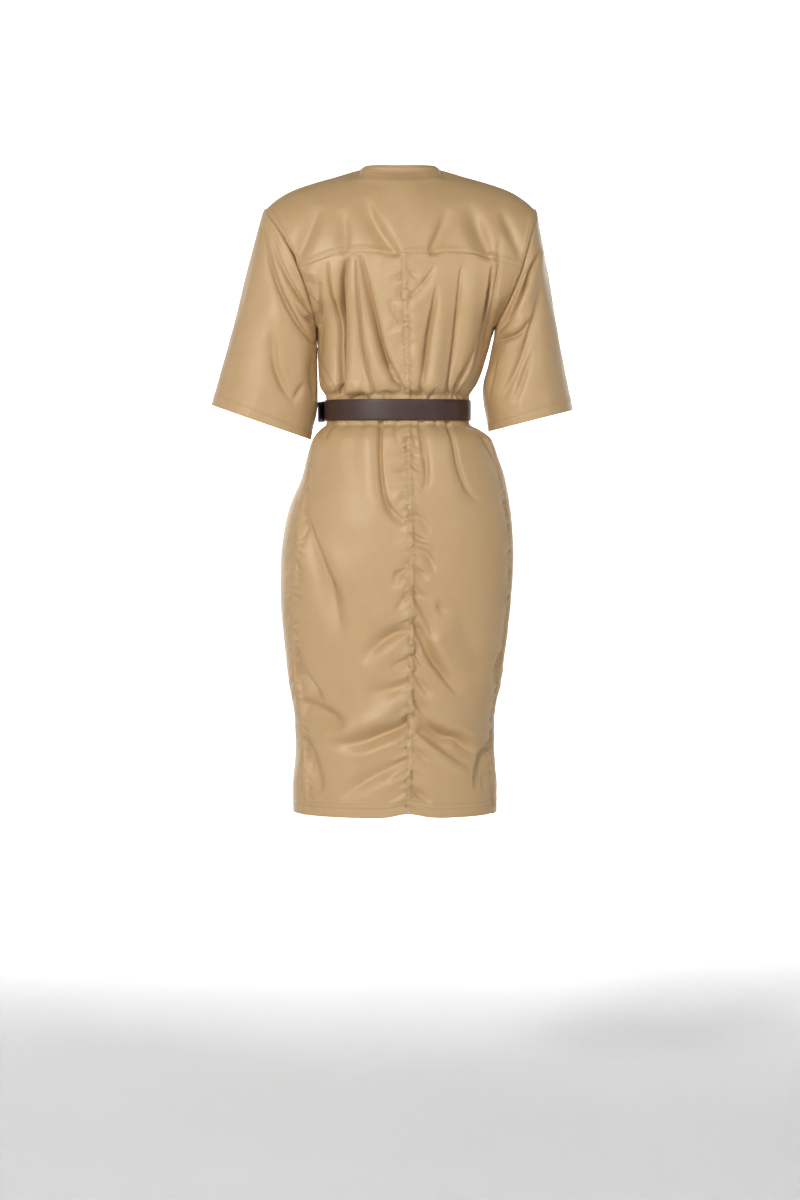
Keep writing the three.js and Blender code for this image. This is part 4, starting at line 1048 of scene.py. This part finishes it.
def front_panel(sign):
    low = lower_levels(FRONT_ROW_STEP)
    top = np.linspace(0, 1, int(FRONT_RUN / FRONT_ROW_STEP) + 1)[1:]
    levels_row = np.concatenate([low, top])
    rows = len(levels_row)

    def level_at(angle):
        above = np.maximum(levels_row, 0.0)[:, None]
        even = np.arccos(1 - 2 * np.sin(above * QUARTER)) / np.pi
        return np.minimum(levels_row, 0.0)[:, None] + mix(above, even, section(angle)[1])

    hidden = np.where(levels_row > 0, 0.0, 7.0) / 130.0
    side = np.where(levels_row > 0, QUARTER + HIDDEN, seam_angles(levels_row, sign) - hidden)
    start = sign * side
    end = np.full(rows, sign * (2 * QUARTER - 0.004))
    angles, from_side, _ = spaced_angles(
        level_at, start, end, rows, SHORT_EDGE_STEPS, FRONT_COLUMNS, [0, 6.0])
    levels = level_at(angles)
    base = body_points(angles, levels)
    normals = outwards(grid_normals(base), outward_of(angles, 0.02))
    z = base[..., 2]
    free = clear_of_belt(z)
    beside_placket = smooth((np.abs(base[..., 0]) - 17.0) / 12.0)
    shift = shaped(turned(base), FRONT_FOLDS, DRAWN_FOLD, DRAG_FOLD)
    shift = shift * facing(normals, -1.0) * smooth((from_side - 4.0) / 14.0)
    shift = kept_under_belt(shift + gathers(base, 59 + sign), z)
    shift = (shift + undulation(base, 53 + sign)) * beside_placket
    side_strength = (0.2 + 0.8 * smooth((SKIRT_FROM_Z - z) / 60.0)) * free * (z < UNDERARM_Z)
    drawn = 0.8 * puckers(np.maximum(from_side - 9.0, 0), -z, 67 + sign)
    drawn = drawn + ruches(from_side, -z, 127 + sign, 24.0, 8.5)
    shift += side_strength * mix(0.15, 1.0, smooth((from_side - 9.0) / 6.0)) * drawn
    below_arm = smooth(-levels / 6.0)
    shift += 3.0 * UNDER_LIFT * smooth((10.5 - from_side) / 3.0) * below_arm
    shift += 0.8 * band_lift(from_side) * (1 - below_arm)
    shift += hem_lift(levels)
    calm_top = 1 - smooth((levels - 0.9) / 0.1)
    shift = shift * np.where(levels > 0.9, calm_top, 1.0)
    grid, normals = moved_out(base, normals, shift)
    level_shoulder(grid, normals)
    name = "front_left_cloth" if sign > 0 else "front_right_cloth"
    piece = cloth_piece(name, grid, normals, CLOTH, CLOTH_LOOK)
    stitch_rows(grid, normals, HEM_STITCHES)
    above = levels_row > 0.02
    stitch_columns(grid[above], normals[above], EDGE_STITCHES)
    return piece


# Where the neckband is sewn on: rows counted from the top of the yoke, and how far each lifts
NECK_SEAM = ((6, 0.5), (7, 0.2), (8, -0.3), (9, 0.3), (10, 0.6), (11, 0.2), (12, -0.3), (13, 0.3))


def yoke():
    near = np.array(YOKE_STEPS) / YOKE_RUN
    rest = np.linspace(near[-1], 1.0, YOKE_ROWS)[1:]
    shares = np.concatenate([near, rest])
    shares[-2] = 1.0 - 0.0035
    rows = len(shares)

    def level_at(angle):
        seam = yoke_level(angle)
        return seam + (1 - seam) * shares[:, None]

    start = np.full(rows, -QUARTER)
    end = np.full(rows, QUARTER)
    angles, from_right, from_left = spaced_angles(
        level_at, start, end, rows, SHORT_EDGE_STEPS, YOKE_COLUMNS, SHORT_EDGE_STEPS, FINE_SAMPLES)
    levels = level_at(angles)
    base = body_points(angles, levels)
    normals = outwards(grid_normals(base), outward_of(angles, 0.4))
    from_seam = np.concatenate([YOKE_STEPS, rest * YOKE_RUN])[:, None]
    calm_top = 1 - smooth((levels - 0.86) / 0.12)
    shift = shaped(base, YOKE_FOLDS, SOFT_FOLD, SOFT_FOLD) * calm_top
    shift += 0.5 * undulation(base, 71) * calm_top
    run = base[..., 0]
    shift += 0.35 * puckers(from_seam + 0 * run, run, 73, 8.0, 6.0)
    shift += band_lift(from_seam + 0 * run)
    from_edge = np.minimum(from_right, from_left)
    shift += 0.9 * band_lift(from_edge) * calm_top
    beside_neck = smooth((NECK_HALF + 10.0 - np.abs(base[..., 0])) / 14.0)
    for i, lift in NECK_SEAM:
        shift[rows - i] += lift * beside_neck[rows - i]
    grid, normals = moved_out(base, normals, shift)
    level_shoulder(grid, normals)
    piece = cloth_piece("yoke_cloth", grid, normals, CLOTH, CLOTH_LOOK)
    stitch_rows(grid, normals, EDGE_STITCHES)
    for near_column, far_column in zip(EDGE_STITCHES, FAR_STITCHES):
        stitch_columns(grid, normals, (near_column, far_column))
    neck = np.abs(base[-1, :, 0]) < NECK_HALF
    stitch_rows(grid[:, neck], normals[:, neck], (rows - 8, rows - 12))
    return piece


# Sleeves
SLEEVE_HEM_STEPS = [0, 0.9, 2.4, 5.5, 9.5, 13.5, 16.4, 17.4, 18.4, 20.0, 21.2, 22.2, 23.6, 25.0]
SLEEVE_HEM_ROWS = (17.4, 21.2)
SLEEVE_RUN = 325.0
SLEEVE_ROUND = 180
SLEEVE_ROWS = 110
# How far the upper edge is tucked under yoke and back, and how far its first two rows sink
SLEEVE_TUCK = 4.2
SLEEVE_SINK = (2.3, 0.4)


def sleeve_points(sign, turn, along):
    table = SLEEVE[sign]
    share = (1 - np.cos(turn)) / 2
    back = np.sin(turn) >= 0
    hole = ARMHOLE[sign]
    bow = np.where(back, hole["bow_back"], hole["bow_front"]) * 4 * share * (1 - share)
    bow = bow * smooth(1 - along / 0.45)

    def row(name):
        return look_up(table, "along", name, along)

    x = mix(row("outer_x"), row("inner_x"), share + bow)
    z = mix(row("outer_z"), row("inner_z"), share)
    y = np.where(back, row("back"), row("front")) * np.sin(turn)
    return np.stack([sign * x, y, z + 0 * turn], axis=-1)


def sleeve(sign):
    near = 1.0 - np.array(SLEEVE_HEM_STEPS)[::-1] / SLEEVE_RUN
    along = np.concatenate([np.linspace(0, near[0], SLEEVE_ROWS)[:-1], near])[:, None]
    along, turn = np.broadcast_arrays(along, circle(SLEEVE_ROUND)[None, :])
    base = sleeve_points(sign, turn, along)
    middle = base.mean(axis=1, keepdims=True)
    normals = outwards(grid_normals(base, closed=True), base - middle)
    is_back = np.sin(turn) >= 0
    start = smooth((along - 0.01) / 0.08)
    shift = np.where(is_back, 1.2 * shaped(base, SLEEVE_FOLDS, PLEAT, PLEAT),
                     0.8 * shaped(turned(base), SLEEVE_FOLDS, PLEAT, PLEAT))
    shift = shift * smooth(np.abs(np.sin(turn)) / 0.35) * start
    wobble = 1.3 * value_noise(turn * 9.5 / np.pi, along * 3.2 + 2, 83 + sign, 19)
    small = 0.25 * value_noise(turn * 28.5 / np.pi, along * 15 + 2, 89 + sign, 57)
    shift = shift + (wobble + small) * start
    from_hem = (1.0 - along) * SLEEVE_RUN
    shift += 0.5 * smooth((24.0 - from_hem) / 1.5) - sunk(from_hem, SLEEVE_HEM_ROWS, 0.35, 0.9)
    onward = unit(base[1] - base[0])
    above_arm = 1 - smooth(((1 - np.cos(turn[0])) / 2 - 0.55) / 0.25)
    base[0] -= SLEEVE_TUCK * above_arm[:, None] * onward
    for i, sink in enumerate(SLEEVE_SINK):
        shift[i] -= sink * above_arm
    grid, normals = moved_out(base, normals, SLEEVE_WALL + shift, closed=True)
    name = "sleeve_left_cloth" if sign > 0 else "sleeve_right_cloth"
    piece = cloth_piece(name, grid, normals, CLOTH, CLOTH_LOOK, closed=True)
    for k in stitched(SLEEVE_HEM_STEPS, SLEEVE_HEM_ROWS):
        i = len(grid) - 1 - k
        stitch_line(np.vstack([grid[i], grid[i, :1]]), np.vstack([normals[i], normals[i, :1]]))
    return piece


def round_neck():
    """Angles at the upper edge from the centre front over the left, the back and the right."""
    quarter = np.arcsin((NECK_HALF * np.sin(np.linspace(0, QUARTER, 25)) / SHOULDER_HALF)
                        ** (SQUARENESS / 2))
    left = np.concatenate([2 * QUARTER - quarter, quarter[:-1][::-1]])
    left[0] -= 0.002
    return np.concatenate([left, -left[:-1][::-1]])


def neckband():
    angles = round_neck()
    foot = body_points(angles, np.ones(angles.shape))
    inwards = unit(foot * np.array([-1.0, -1.0, 0.0]))
    sideways = np.abs(foot[:, :1]) / NECK_HALF
    up = unit(inwards * mix(0.45, 1.3, sideways ** 3) + UP) * mix(1.0, 0.72, sideways ** 2)
    heights = [-0.6, 0.2, 1.4, 2.4, 3.4, 6.0, 8.6, 9.8, 10.8, 11.6, 12.2, 12.4]
    outs = [0.9, 1.1, 1.1, 0.5, 1.1, 1.2, 1.1, 0.55, 1.1, 0.9, 0.5, -0.1]
    ripple = 0.25 * value_noise(np.arange(len(angles)) / 2.3, np.zeros(len(angles)), 97)
    grid = np.stack([foot + up * height - inwards * (out + ripple)[:, None]
                     for height, out in zip(heights, outs)])
    normals = outwards(grid_normals(grid), -inwards[None] * np.ones((len(heights), 1, 1)))
    piece = cloth_piece("neckband_cloth", grid, normals, 1.9, CLOTH_LOOK)
    stitch_rows(grid, normals, (3, 7))
    return piece


PLACKET_HALF = 16.0
PLACKET_STITCHES = 13.2
PLACKET_LIFT = 2.5
NEAR_CENTRE = 0.01


def placket():
    low = lower_levels(4.0)
    top = np.linspace(0, 0.93, 60)[1:]
    levels = np.concatenate([low, top])[:, None]
    half = np.array([4, 8, 12.2, PLACKET_STITCHES, 14.2, 15.3, PLACKET_HALF])
    across = np.concatenate([-half[::-1], [NEAR_CENTRE], half])
    levels, x = np.broadcast_arrays(levels, across[None, :])
    grid = body_points(angle_across(x, levels, False), levels)
    lift = PLACKET_LIFT - sunk(np.abs(x), (PLACKET_STITCHES,), 0.35, 0.8)
    lift = lift - 0.35 * smooth(np.abs(x) - 15.0) + 0.18 * value_noise(levels * 40, x / 9.0, 101)
    grid[..., 1] -= lift
    normals = outwards(grid_normals(grid), np.array([0.0, -1.0, 0.0]))
    piece = cloth_piece("placket_cloth", grid, normals, 1.5, CLOTH_LOOK)
    stitch_columns(grid, normals, (3, 11))
    return piece


# Belt
BELT_TURNS = (6.6, 452.0)
STRAP = 3.0
STRAP_WIDTH = 33.0
# Half of the strap's section, across and out as shares of its width and thickness
BELT_EDGE = [(0.5, -0.4), (0.5, 0.12), (0.49, 0.33), (0.47, 0.45), (0.44, 0.49), (0.38, 0.5),
             (0.2, 0.515)]
BELT_PROFILE = np.array([(-x, out) for x, out in BELT_EDGE] + [(0, 0.52)] + BELT_EDGE[::-1]
                        + [(0.47, -0.5), (0, -0.5), (-0.47, -0.5)])


def belt_frame(turn):
    """The place on the waist and the outward normal at a turn of the belt, 0 being centre front."""
    turn = np.asarray(turn, float)
    angle = np.radians(180.0 - np.where(turn > 360, turn - 360, turn))
    level = np.full(turn.shape, BELT_Z - UNDERARM_Z)
    place = body_points(angle, level)
    ahead = body_points(angle + 0.004, level) - body_points(angle - 0.004, level)
    normal = unit(np.stack([ahead[..., 1], -ahead[..., 0], np.zeros(turn.shape)], axis=-1))
    normal = outwards(normal, place * (1.0 - UP))
    place[..., 2] = BELT_Z
    return place, normal


def belt_points(turn, lift, rise):
    turn, lift, rise = np.broadcast_arrays(np.asarray(turn, float), lift, rise)
    place, normal = belt_frame(turn)
    from_front = np.minimum(turn % 360, 360 - turn % 360)
    # Off the waist: everywhere, more over the placket, over the first layer, and at the free end
    over = (0.5 + 2.6 * smooth((44 - from_front) / 22) + 3.3 * smooth((turn - 349) / 12)
            + 7 * smooth((turn - 425) / 27))
    out = place + normal * (over + lift)[..., None]
    out[..., 2] += rise - 2.5 * smooth((turn - 425) / 27)
    return out, normal


def swept(name, rings, material, caps=True):
    """A body through rings of points, capped at its ends or closed to a loop."""
    rows, count = rings.shape[:2]
    sides = quads(rows, count, loop=not caps)
    faces = sides.tolist()
    if caps:
        faces.append(list(range(count))[::-1])
        faces.append([(rows - 1) * count + m for m in range(count)])
    piece = new_piece(name, rings.reshape(-1, 3), faces, material)
    corners = rings.reshape(-1, 3)[sides]
    volume = (corners[:, 0] * np.cross(corners[:, 1], corners[:, 2])
              + corners[:, 0] * np.cross(corners[:, 2], corners[:, 3])).sum()
    if volume < 0:
        piece.data.flip_normals()
    return piece


def rounded_path(half_x, half_z, corner, steps):
    """Points round a rectangle with rounded corners, and the ways out of it there."""
    path, ways = [], []
    for x, z, start in ((1, 1, 0), (-1, 1, 90), (-1, -1, 180), (1, -1, 270)):
        for turn in np.radians(np.linspace(start, start + 90, steps)):
            way = (math.cos(turn), math.sin(turn))
            path.append(((half_x - corner) * x + corner * way[0],
                         (half_z - corner) * z + corner * way[1]))
            ways.append(way)
    return np.array(path), np.array(ways)


def belt():
    ends = [6.7, 6.9, 7.3, 449.5, 450.6, 451.4, 451.8, 452.0]
    turns = np.unique(np.concatenate([np.linspace(*BELT_TURNS, 300)[:-1], ends]))
    run = (turns - BELT_TURNS[0]) * 1.85
    to_end = np.minimum((BELT_TURNS[1] - turns) * 2.2, 10.0) / 10.0
    narrow = np.where(turns > 440, 0.80 + 0.2 * np.sqrt(np.clip(1 - (1 - to_end) ** 2, 0, 1)), 1.0)
    wave = 0.22 * value_noise(run / 40.0, np.zeros(len(run)), 107)
    lift = BELT_PROFILE[None, :, 1] * STRAP + wave[:, None] + STRAP / 2
    across = BELT_PROFILE[None, :, 0] * STRAP_WIDTH * narrow[:, None]
    points, _ = belt_points(turns[:, None], lift, across)
    return swept("belt_leather_strap", points, LEATHER_LOOK)


HOLE_TURNS = (372.0, 381.5, 391.0, 400.5, 410.0)
HOLE_RIM = ((2.5, 0.02), (2.2, 0.16), (1.9, 0.08), (1.6, 0.03))
HOLE_SIDES = 20
MM_PER_TURN = 1.75


def belt_holes():
    """Five punched holes with worn rims, two on each side of the one the prong sits in. Each is a
    near-black disc on the strap: painted shade for the hole.
    """
    share = circle(HOLE_SIDES)
    pieces = []
    for number, turn in enumerate(HOLE_TURNS, 1):
        rings = np.array([belt_points(turn + np.cos(share) * radius / MM_PER_TURN, STRAP + lift,
                                      np.sin(share) * radius)[0] for radius, lift in HOLE_RIM])
        vertices = np.vstack([rings.reshape(-1, 3), rings[-1].mean(axis=0)])
        faces = quads(len(rings), HOLE_SIDES).tolist()
        faces += fan(len(vertices) - 1 - HOLE_SIDES, HOLE_SIDES, len(vertices) - 1)
        pieces.append(new_piece(f"belt_hole_shade_{number}", vertices, faces, HOLE_SHADE_LOOK))
    return pieces


KEEPER_TURN = 17.4


def keeper():
    """A loop of leather round both layers of the strap."""
    half_out, half_up, wall, corner = 9.9 / 2, 37.6 / 2, 1.5, 2.0
    centre, normal = belt_points(np.array([KEEPER_TURN]), 3.15, 0.0)
    centre, normal = centre[0], normal[0]
    along = np.cross(normal, [0, 0, 1])
    path, _ = rounded_path(half_out, half_up, corner, 7)
    inner = path * np.array([(half_out - wall) / half_out, (half_up - wall) / half_up])
    profile = [(0, -4.5), (0.4, -4.7), (0.8, -4.5), (1, -4.0), (1, 4.0), (0.8, 4.5), (0.4, 4.7),
               (0, 4.5)]
    rings = []
    for a, b in zip(path, inner):
        places = [b + (a - b) * share for share, _ in profile]
        rings.append([centre + normal * out + UP * rise + along * wide
                      for (out, rise), (_, wide) in zip(places, profile)])
    return swept("belt_leather_keeper", np.array(rings), LEATHER_LOOK, caps=False)


def buckle():
    """A rounded rectangle of brass rod, set on edge across the strap."""
    half_x, half_z, bar, thick, corner = 22.0, 21.0, 3.6, 3.0, 6.0
    turn = math.radians(3.2)
    centre = np.array([-6.0, -95.55, BELT_Z])
    across = np.array([math.cos(turn), math.sin(turn), 0.0])
    out = np.array([math.sin(turn), -math.cos(turn), 0.0])
    path, ways = rounded_path(half_x - bar / 2, half_z - bar / 2, corner - bar / 2, 10)
    edge = [(-bar / 2, -thick * 0.3), (-bar * 0.38, -thick / 2), (bar * 0.38, -thick / 2),
            (bar / 2, -thick * 0.3), (bar / 2, thick * 0.15), (bar * 0.36, thick * 0.4),
            (bar * 0.16, thick / 2), (-bar * 0.16, thick / 2), (-bar * 0.36, thick * 0.4),
            (-bar / 2, thick * 0.15)]
    rings = [[centre + across * (x + way_x * wide) + UP * (z + way_z * wide) + out * high
              for wide, high in edge] for (x, z), (way_x, way_z) in zip(path, ways)]
    return swept("buckle_brass_frame", np.array(rings), BRASS_LOOK, caps=False)


def prong():
    path = spline([(6, -4.6, 0, 0), (0, -4.6, 0, 0), (-12, -4.2, 0, 0), (-24, -3.9, 0, 0),
                   (-30, -3.6, 0, 0)], 8)[:, :2]
    share = np.linspace(0, 1, len(path))
    radius = 1.4 * (1 - 0.35 * smooth((share - 0.75) / 0.25))
    centre = np.column_stack([path, np.zeros(len(path))]) + np.array([0, -96.1, BELT_Z])
    ahead = unit(np.gradient(centre, axis=0))
    out = np.cross(ahead, UP)
    rings = []
    for k in range(len(path)):
        rings.append([centre[k] + UP * math.sin(a) * radius[k]
                      + out[k] * math.cos(a) * radius[k] * (0.85 if math.cos(a) < 0 else 1.0)
                      for a in circle(14)])
    return swept("buckle_brass_prong", np.array(rings), BRASS_LOOK)


# Buttons
BUTTON_HEIGHTS = [-92, -172, -252, -332, -436, -516, -596, -676, -756, -836]
BUTTON_PROFILE = [(5.0, -1.2), (5.5, -0.95), (5.75, -0.4), (5.72, 0.2), (5.4, 0.75), (4.9, 1.1),
                  (4.4, 1.15), (4.0, 1.0), (3.7, 0.62), (3.3, 0.5), (2.6, 0.48)]
BUTTON_SIDES = 36
HOLE_AT = 1.25
HOLE_RADIUS = 0.62
HOLE_PROFILE = [(1.2, 0.0), (1.0, 0.05), (0.4, 0.05)]
THREAD_RADIUS = 0.2


def front_level_at(z):
    if z <= UNDERARM_Z:
        return z - UNDERARM_Z
    low = UNDERARM_Z
    return math.acos(1 - 2 * (z - low) / (NECK_TOP - NECK_FRONT_DROP - low)) / math.pi


def button(number, z):
    """A horn button with a rim, its four holes, each a near-black disc of painted shade, and the
    thread through them.
    """
    level = np.array([front_level_at(z)])

    def on_front(x, rise=0.0):
        return body_points(angle_across(np.array([x]), level + rise, False), level + rise)[0]

    place = on_front(NEAR_CENTRE)
    normal = unit(np.cross(on_front(3.0) - place, on_front(NEAR_CENTRE, 0.004) - place))
    if normal[1] > 0:
        normal = -normal
    centre = place + np.array([0, -PLACKET_LIFT, 0]) + normal * 1.7
    up = unit(UP - normal * normal[2])
    side = np.cross(up, normal)
    rings = [ring(centre + normal * height, side, up, radius, BUTTON_SIDES)
             for radius, height in BUTTON_PROFILE]
    vertices = np.vstack([*rings, centre + normal * BUTTON_PROFILE[-1][1]])
    faces = quads(len(rings), BUTTON_SIDES).tolist() + [list(range(BUTTON_SIDES))[::-1]]
    faces += fan((len(rings) - 1) * BUTTON_SIDES, BUTTON_SIDES, len(vertices) - 1)
    horn = new_piece(f"button_horn_{number}", vertices, faces, HORN_LOOK)
    hole_shade_v, hole_shade_f = [], []
    thread_v, thread_f = [], []
    for x in (-1, 1):
        for y in (-1, 1):
            # Each hole is a near-black disc a little over the dish of the button: painted shade for
            # the hole, not an opening
            middle = centre + (side * x + up * y) * HOLE_AT + normal * 0.50
            first = len(hole_shade_v)
            for radius, height in HOLE_PROFILE:
                hole_shade_v += ring(middle + normal * height, side, up, HOLE_RADIUS * radius, 12)
            hole_shade_f += quads(3, 12, first).tolist() + [list(range(first + 24, first + 36))]
        for strand in (-0.22, 0.22):
            first = len(thread_v)
            for t in np.linspace(-1, 1, 9):
                high = 0.5 + 0.62 * (1 - t * t)
                spine = centre + side * (x * HOLE_AT + strand) + up * t * HOLE_AT + normal * high
                thread_v += ring(spine, side, normal, THREAD_RADIUS, 6)
            thread_f += quads(9, 6, first).tolist()
            thread_f += [list(range(first, first + 6))[::-1], list(range(first + 48, first + 54))]
    holes = new_piece(f"button_hole_shades_{number}", hole_shade_v, hole_shade_f, HOLE_SHADE_LOOK)
    thread = new_piece(f"button_thread_{number}", thread_v, thread_f, THREAD_AND_SHADE_LOOK)
    return horn, holes, thread


# Pieces
back_left = back_panel(1)
back_right = back_panel(-1)
front_left = front_panel(1)
front_right = front_panel(-1)
yoke_cloth = yoke()
sleeve_left = sleeve(1)
sleeve_right = sleeve(-1)
band = neckband()
placket_cloth = placket()
stitches = stitches_piece("topstitching", THREAD_AND_SHADE_LOOK)
strap = belt()
holes = belt_holes()
loop = keeper()
frame_rod = buckle()
tongue = prong()
buttons = [button(i + 1, z) for i, z in enumerate(BUTTON_HEIGHTS)]

for piece, node in ((back_left, "back_panel_left"), (back_right, "back_panel_right"),
                    (front_left, "front_panel_left"), (front_right, "front_panel_right"),
                    (yoke_cloth, "back_yoke"), (sleeve_left, "sleeve_left"),
                    (sleeve_right, "sleeve_right"), (band, "neckband"),
                    (placket_cloth, "front_placket")):
    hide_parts(node)
for piece, node in ((strap, "belt_strap"), (loop, "belt_keeper")):
    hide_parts(node)
for piece, node in ((frame_rod, "buckle_frame"), (tongue, "buckle_prong")):
    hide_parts(node)
for number, (horn, dark, thread) in enumerate(buttons, 1):
    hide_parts(f"button_{number}")


# Studio: a round pale floor that sweeps up to a pale wall, wider than any view of the dress
def studio():
    wall, bend, high, sides = 7500.0, 1800.0, 5200.0, 96
    profile = [(0.0, FLOOR_Z), (2500.0, FLOOR_Z), (wall - bend, FLOOR_Z)]
    for step in np.radians(np.linspace(0, 90, 13))[1:]:
        profile.append((wall - bend + bend * math.sin(step), FLOOR_Z + bend * (1 - math.cos(step))))
    profile.append((wall, FLOOR_Z + high))
    vertices = [(0.0, 0.0, FLOOR_Z)]
    for radius, z in profile[1:]:
        for turn in circle(sides):
            vertices.append((radius * math.cos(turn), radius * math.sin(turn), z))
    faces = [(0, 1 + j, 1 + (j + 1) % sides) for j in range(sides)]
    for i in range(len(profile) - 2):
        for j in range(sides):
            k = (j + 1) % sides
            low, high_ring = 1 + i * sides, 1 + (i + 1) * sides
            faces.append((low + j, high_ring + j, high_ring + k, low + k))
    look = paper_material("studio_paper", srgb(240, 240, 240))
    sweep = new_mesh("studio_sweep", vertices, faces, look)


def area_light(name, place, aim, size, power, color=(1, 1, 1)):
    light = bpy.data.lights.new(name, "AREA")
    light.energy = power
    light.size = size
    light.color = color
    lamp = bpy.data.objects.new(name, light)
    lamp.location = place
    lamp.rotation_euler = (Vector(aim) - Vector(place)).to_track_quat("-Z", "Y").to_euler()
    lamp.visible_camera = False
    bpy.context.scene.collection.objects.link(lamp)


studio()
area_light("key", (1.7, 3.8, 1.0), (0, 0, -0.55), 0.5, 111, (1.0, 0.985, 0.96))
area_light("fill", (-2.0, 3.6, 1.3), (0, 0, -0.3), 0.8, 36, (0.97, 0.985, 1.0))
area_light("front", (0.8, -3.2, 1.0), (0, 0, -0.5), 1.6, 12, (1.0, 0.99, 0.97))
area_light("wall_left", (2.6, -3.8, 1.6), (0.6, -7.5, -0.4), 2.2, 330)
area_light("wall_right", (-2.6, -3.8, 1.6), (-0.6, -7.5, -0.4), 2.2, 330)
world = bpy.data.worlds.new("studio_world")
world.use_nodes = True
background = world.node_tree.nodes["Background"]
background.inputs["Color"].default_value = (0.9, 0.93, 1.0, 1.0)
background.inputs["Strength"].default_value = 0.08
bpy.context.scene.world = world
bpy.context.scene.view_settings.view_transform = "Standard"

lens = bpy.data.cameras.new("camera")
lens.lens = LENS
lens.sensor_width = SENSOR
camera = bpy.data.objects.new("camera", lens)
camera.location = (0.0, CAMERA_AWAY * MM, CAMERA_Z * MM)
aim = Vector((0, 0, AIM_Z * MM)) - camera.location
camera.rotation_euler = aim.to_track_quat("-Z", "Y").to_euler()
bpy.context.scene.collection.objects.link(camera)
bpy.context.scene.camera = camera
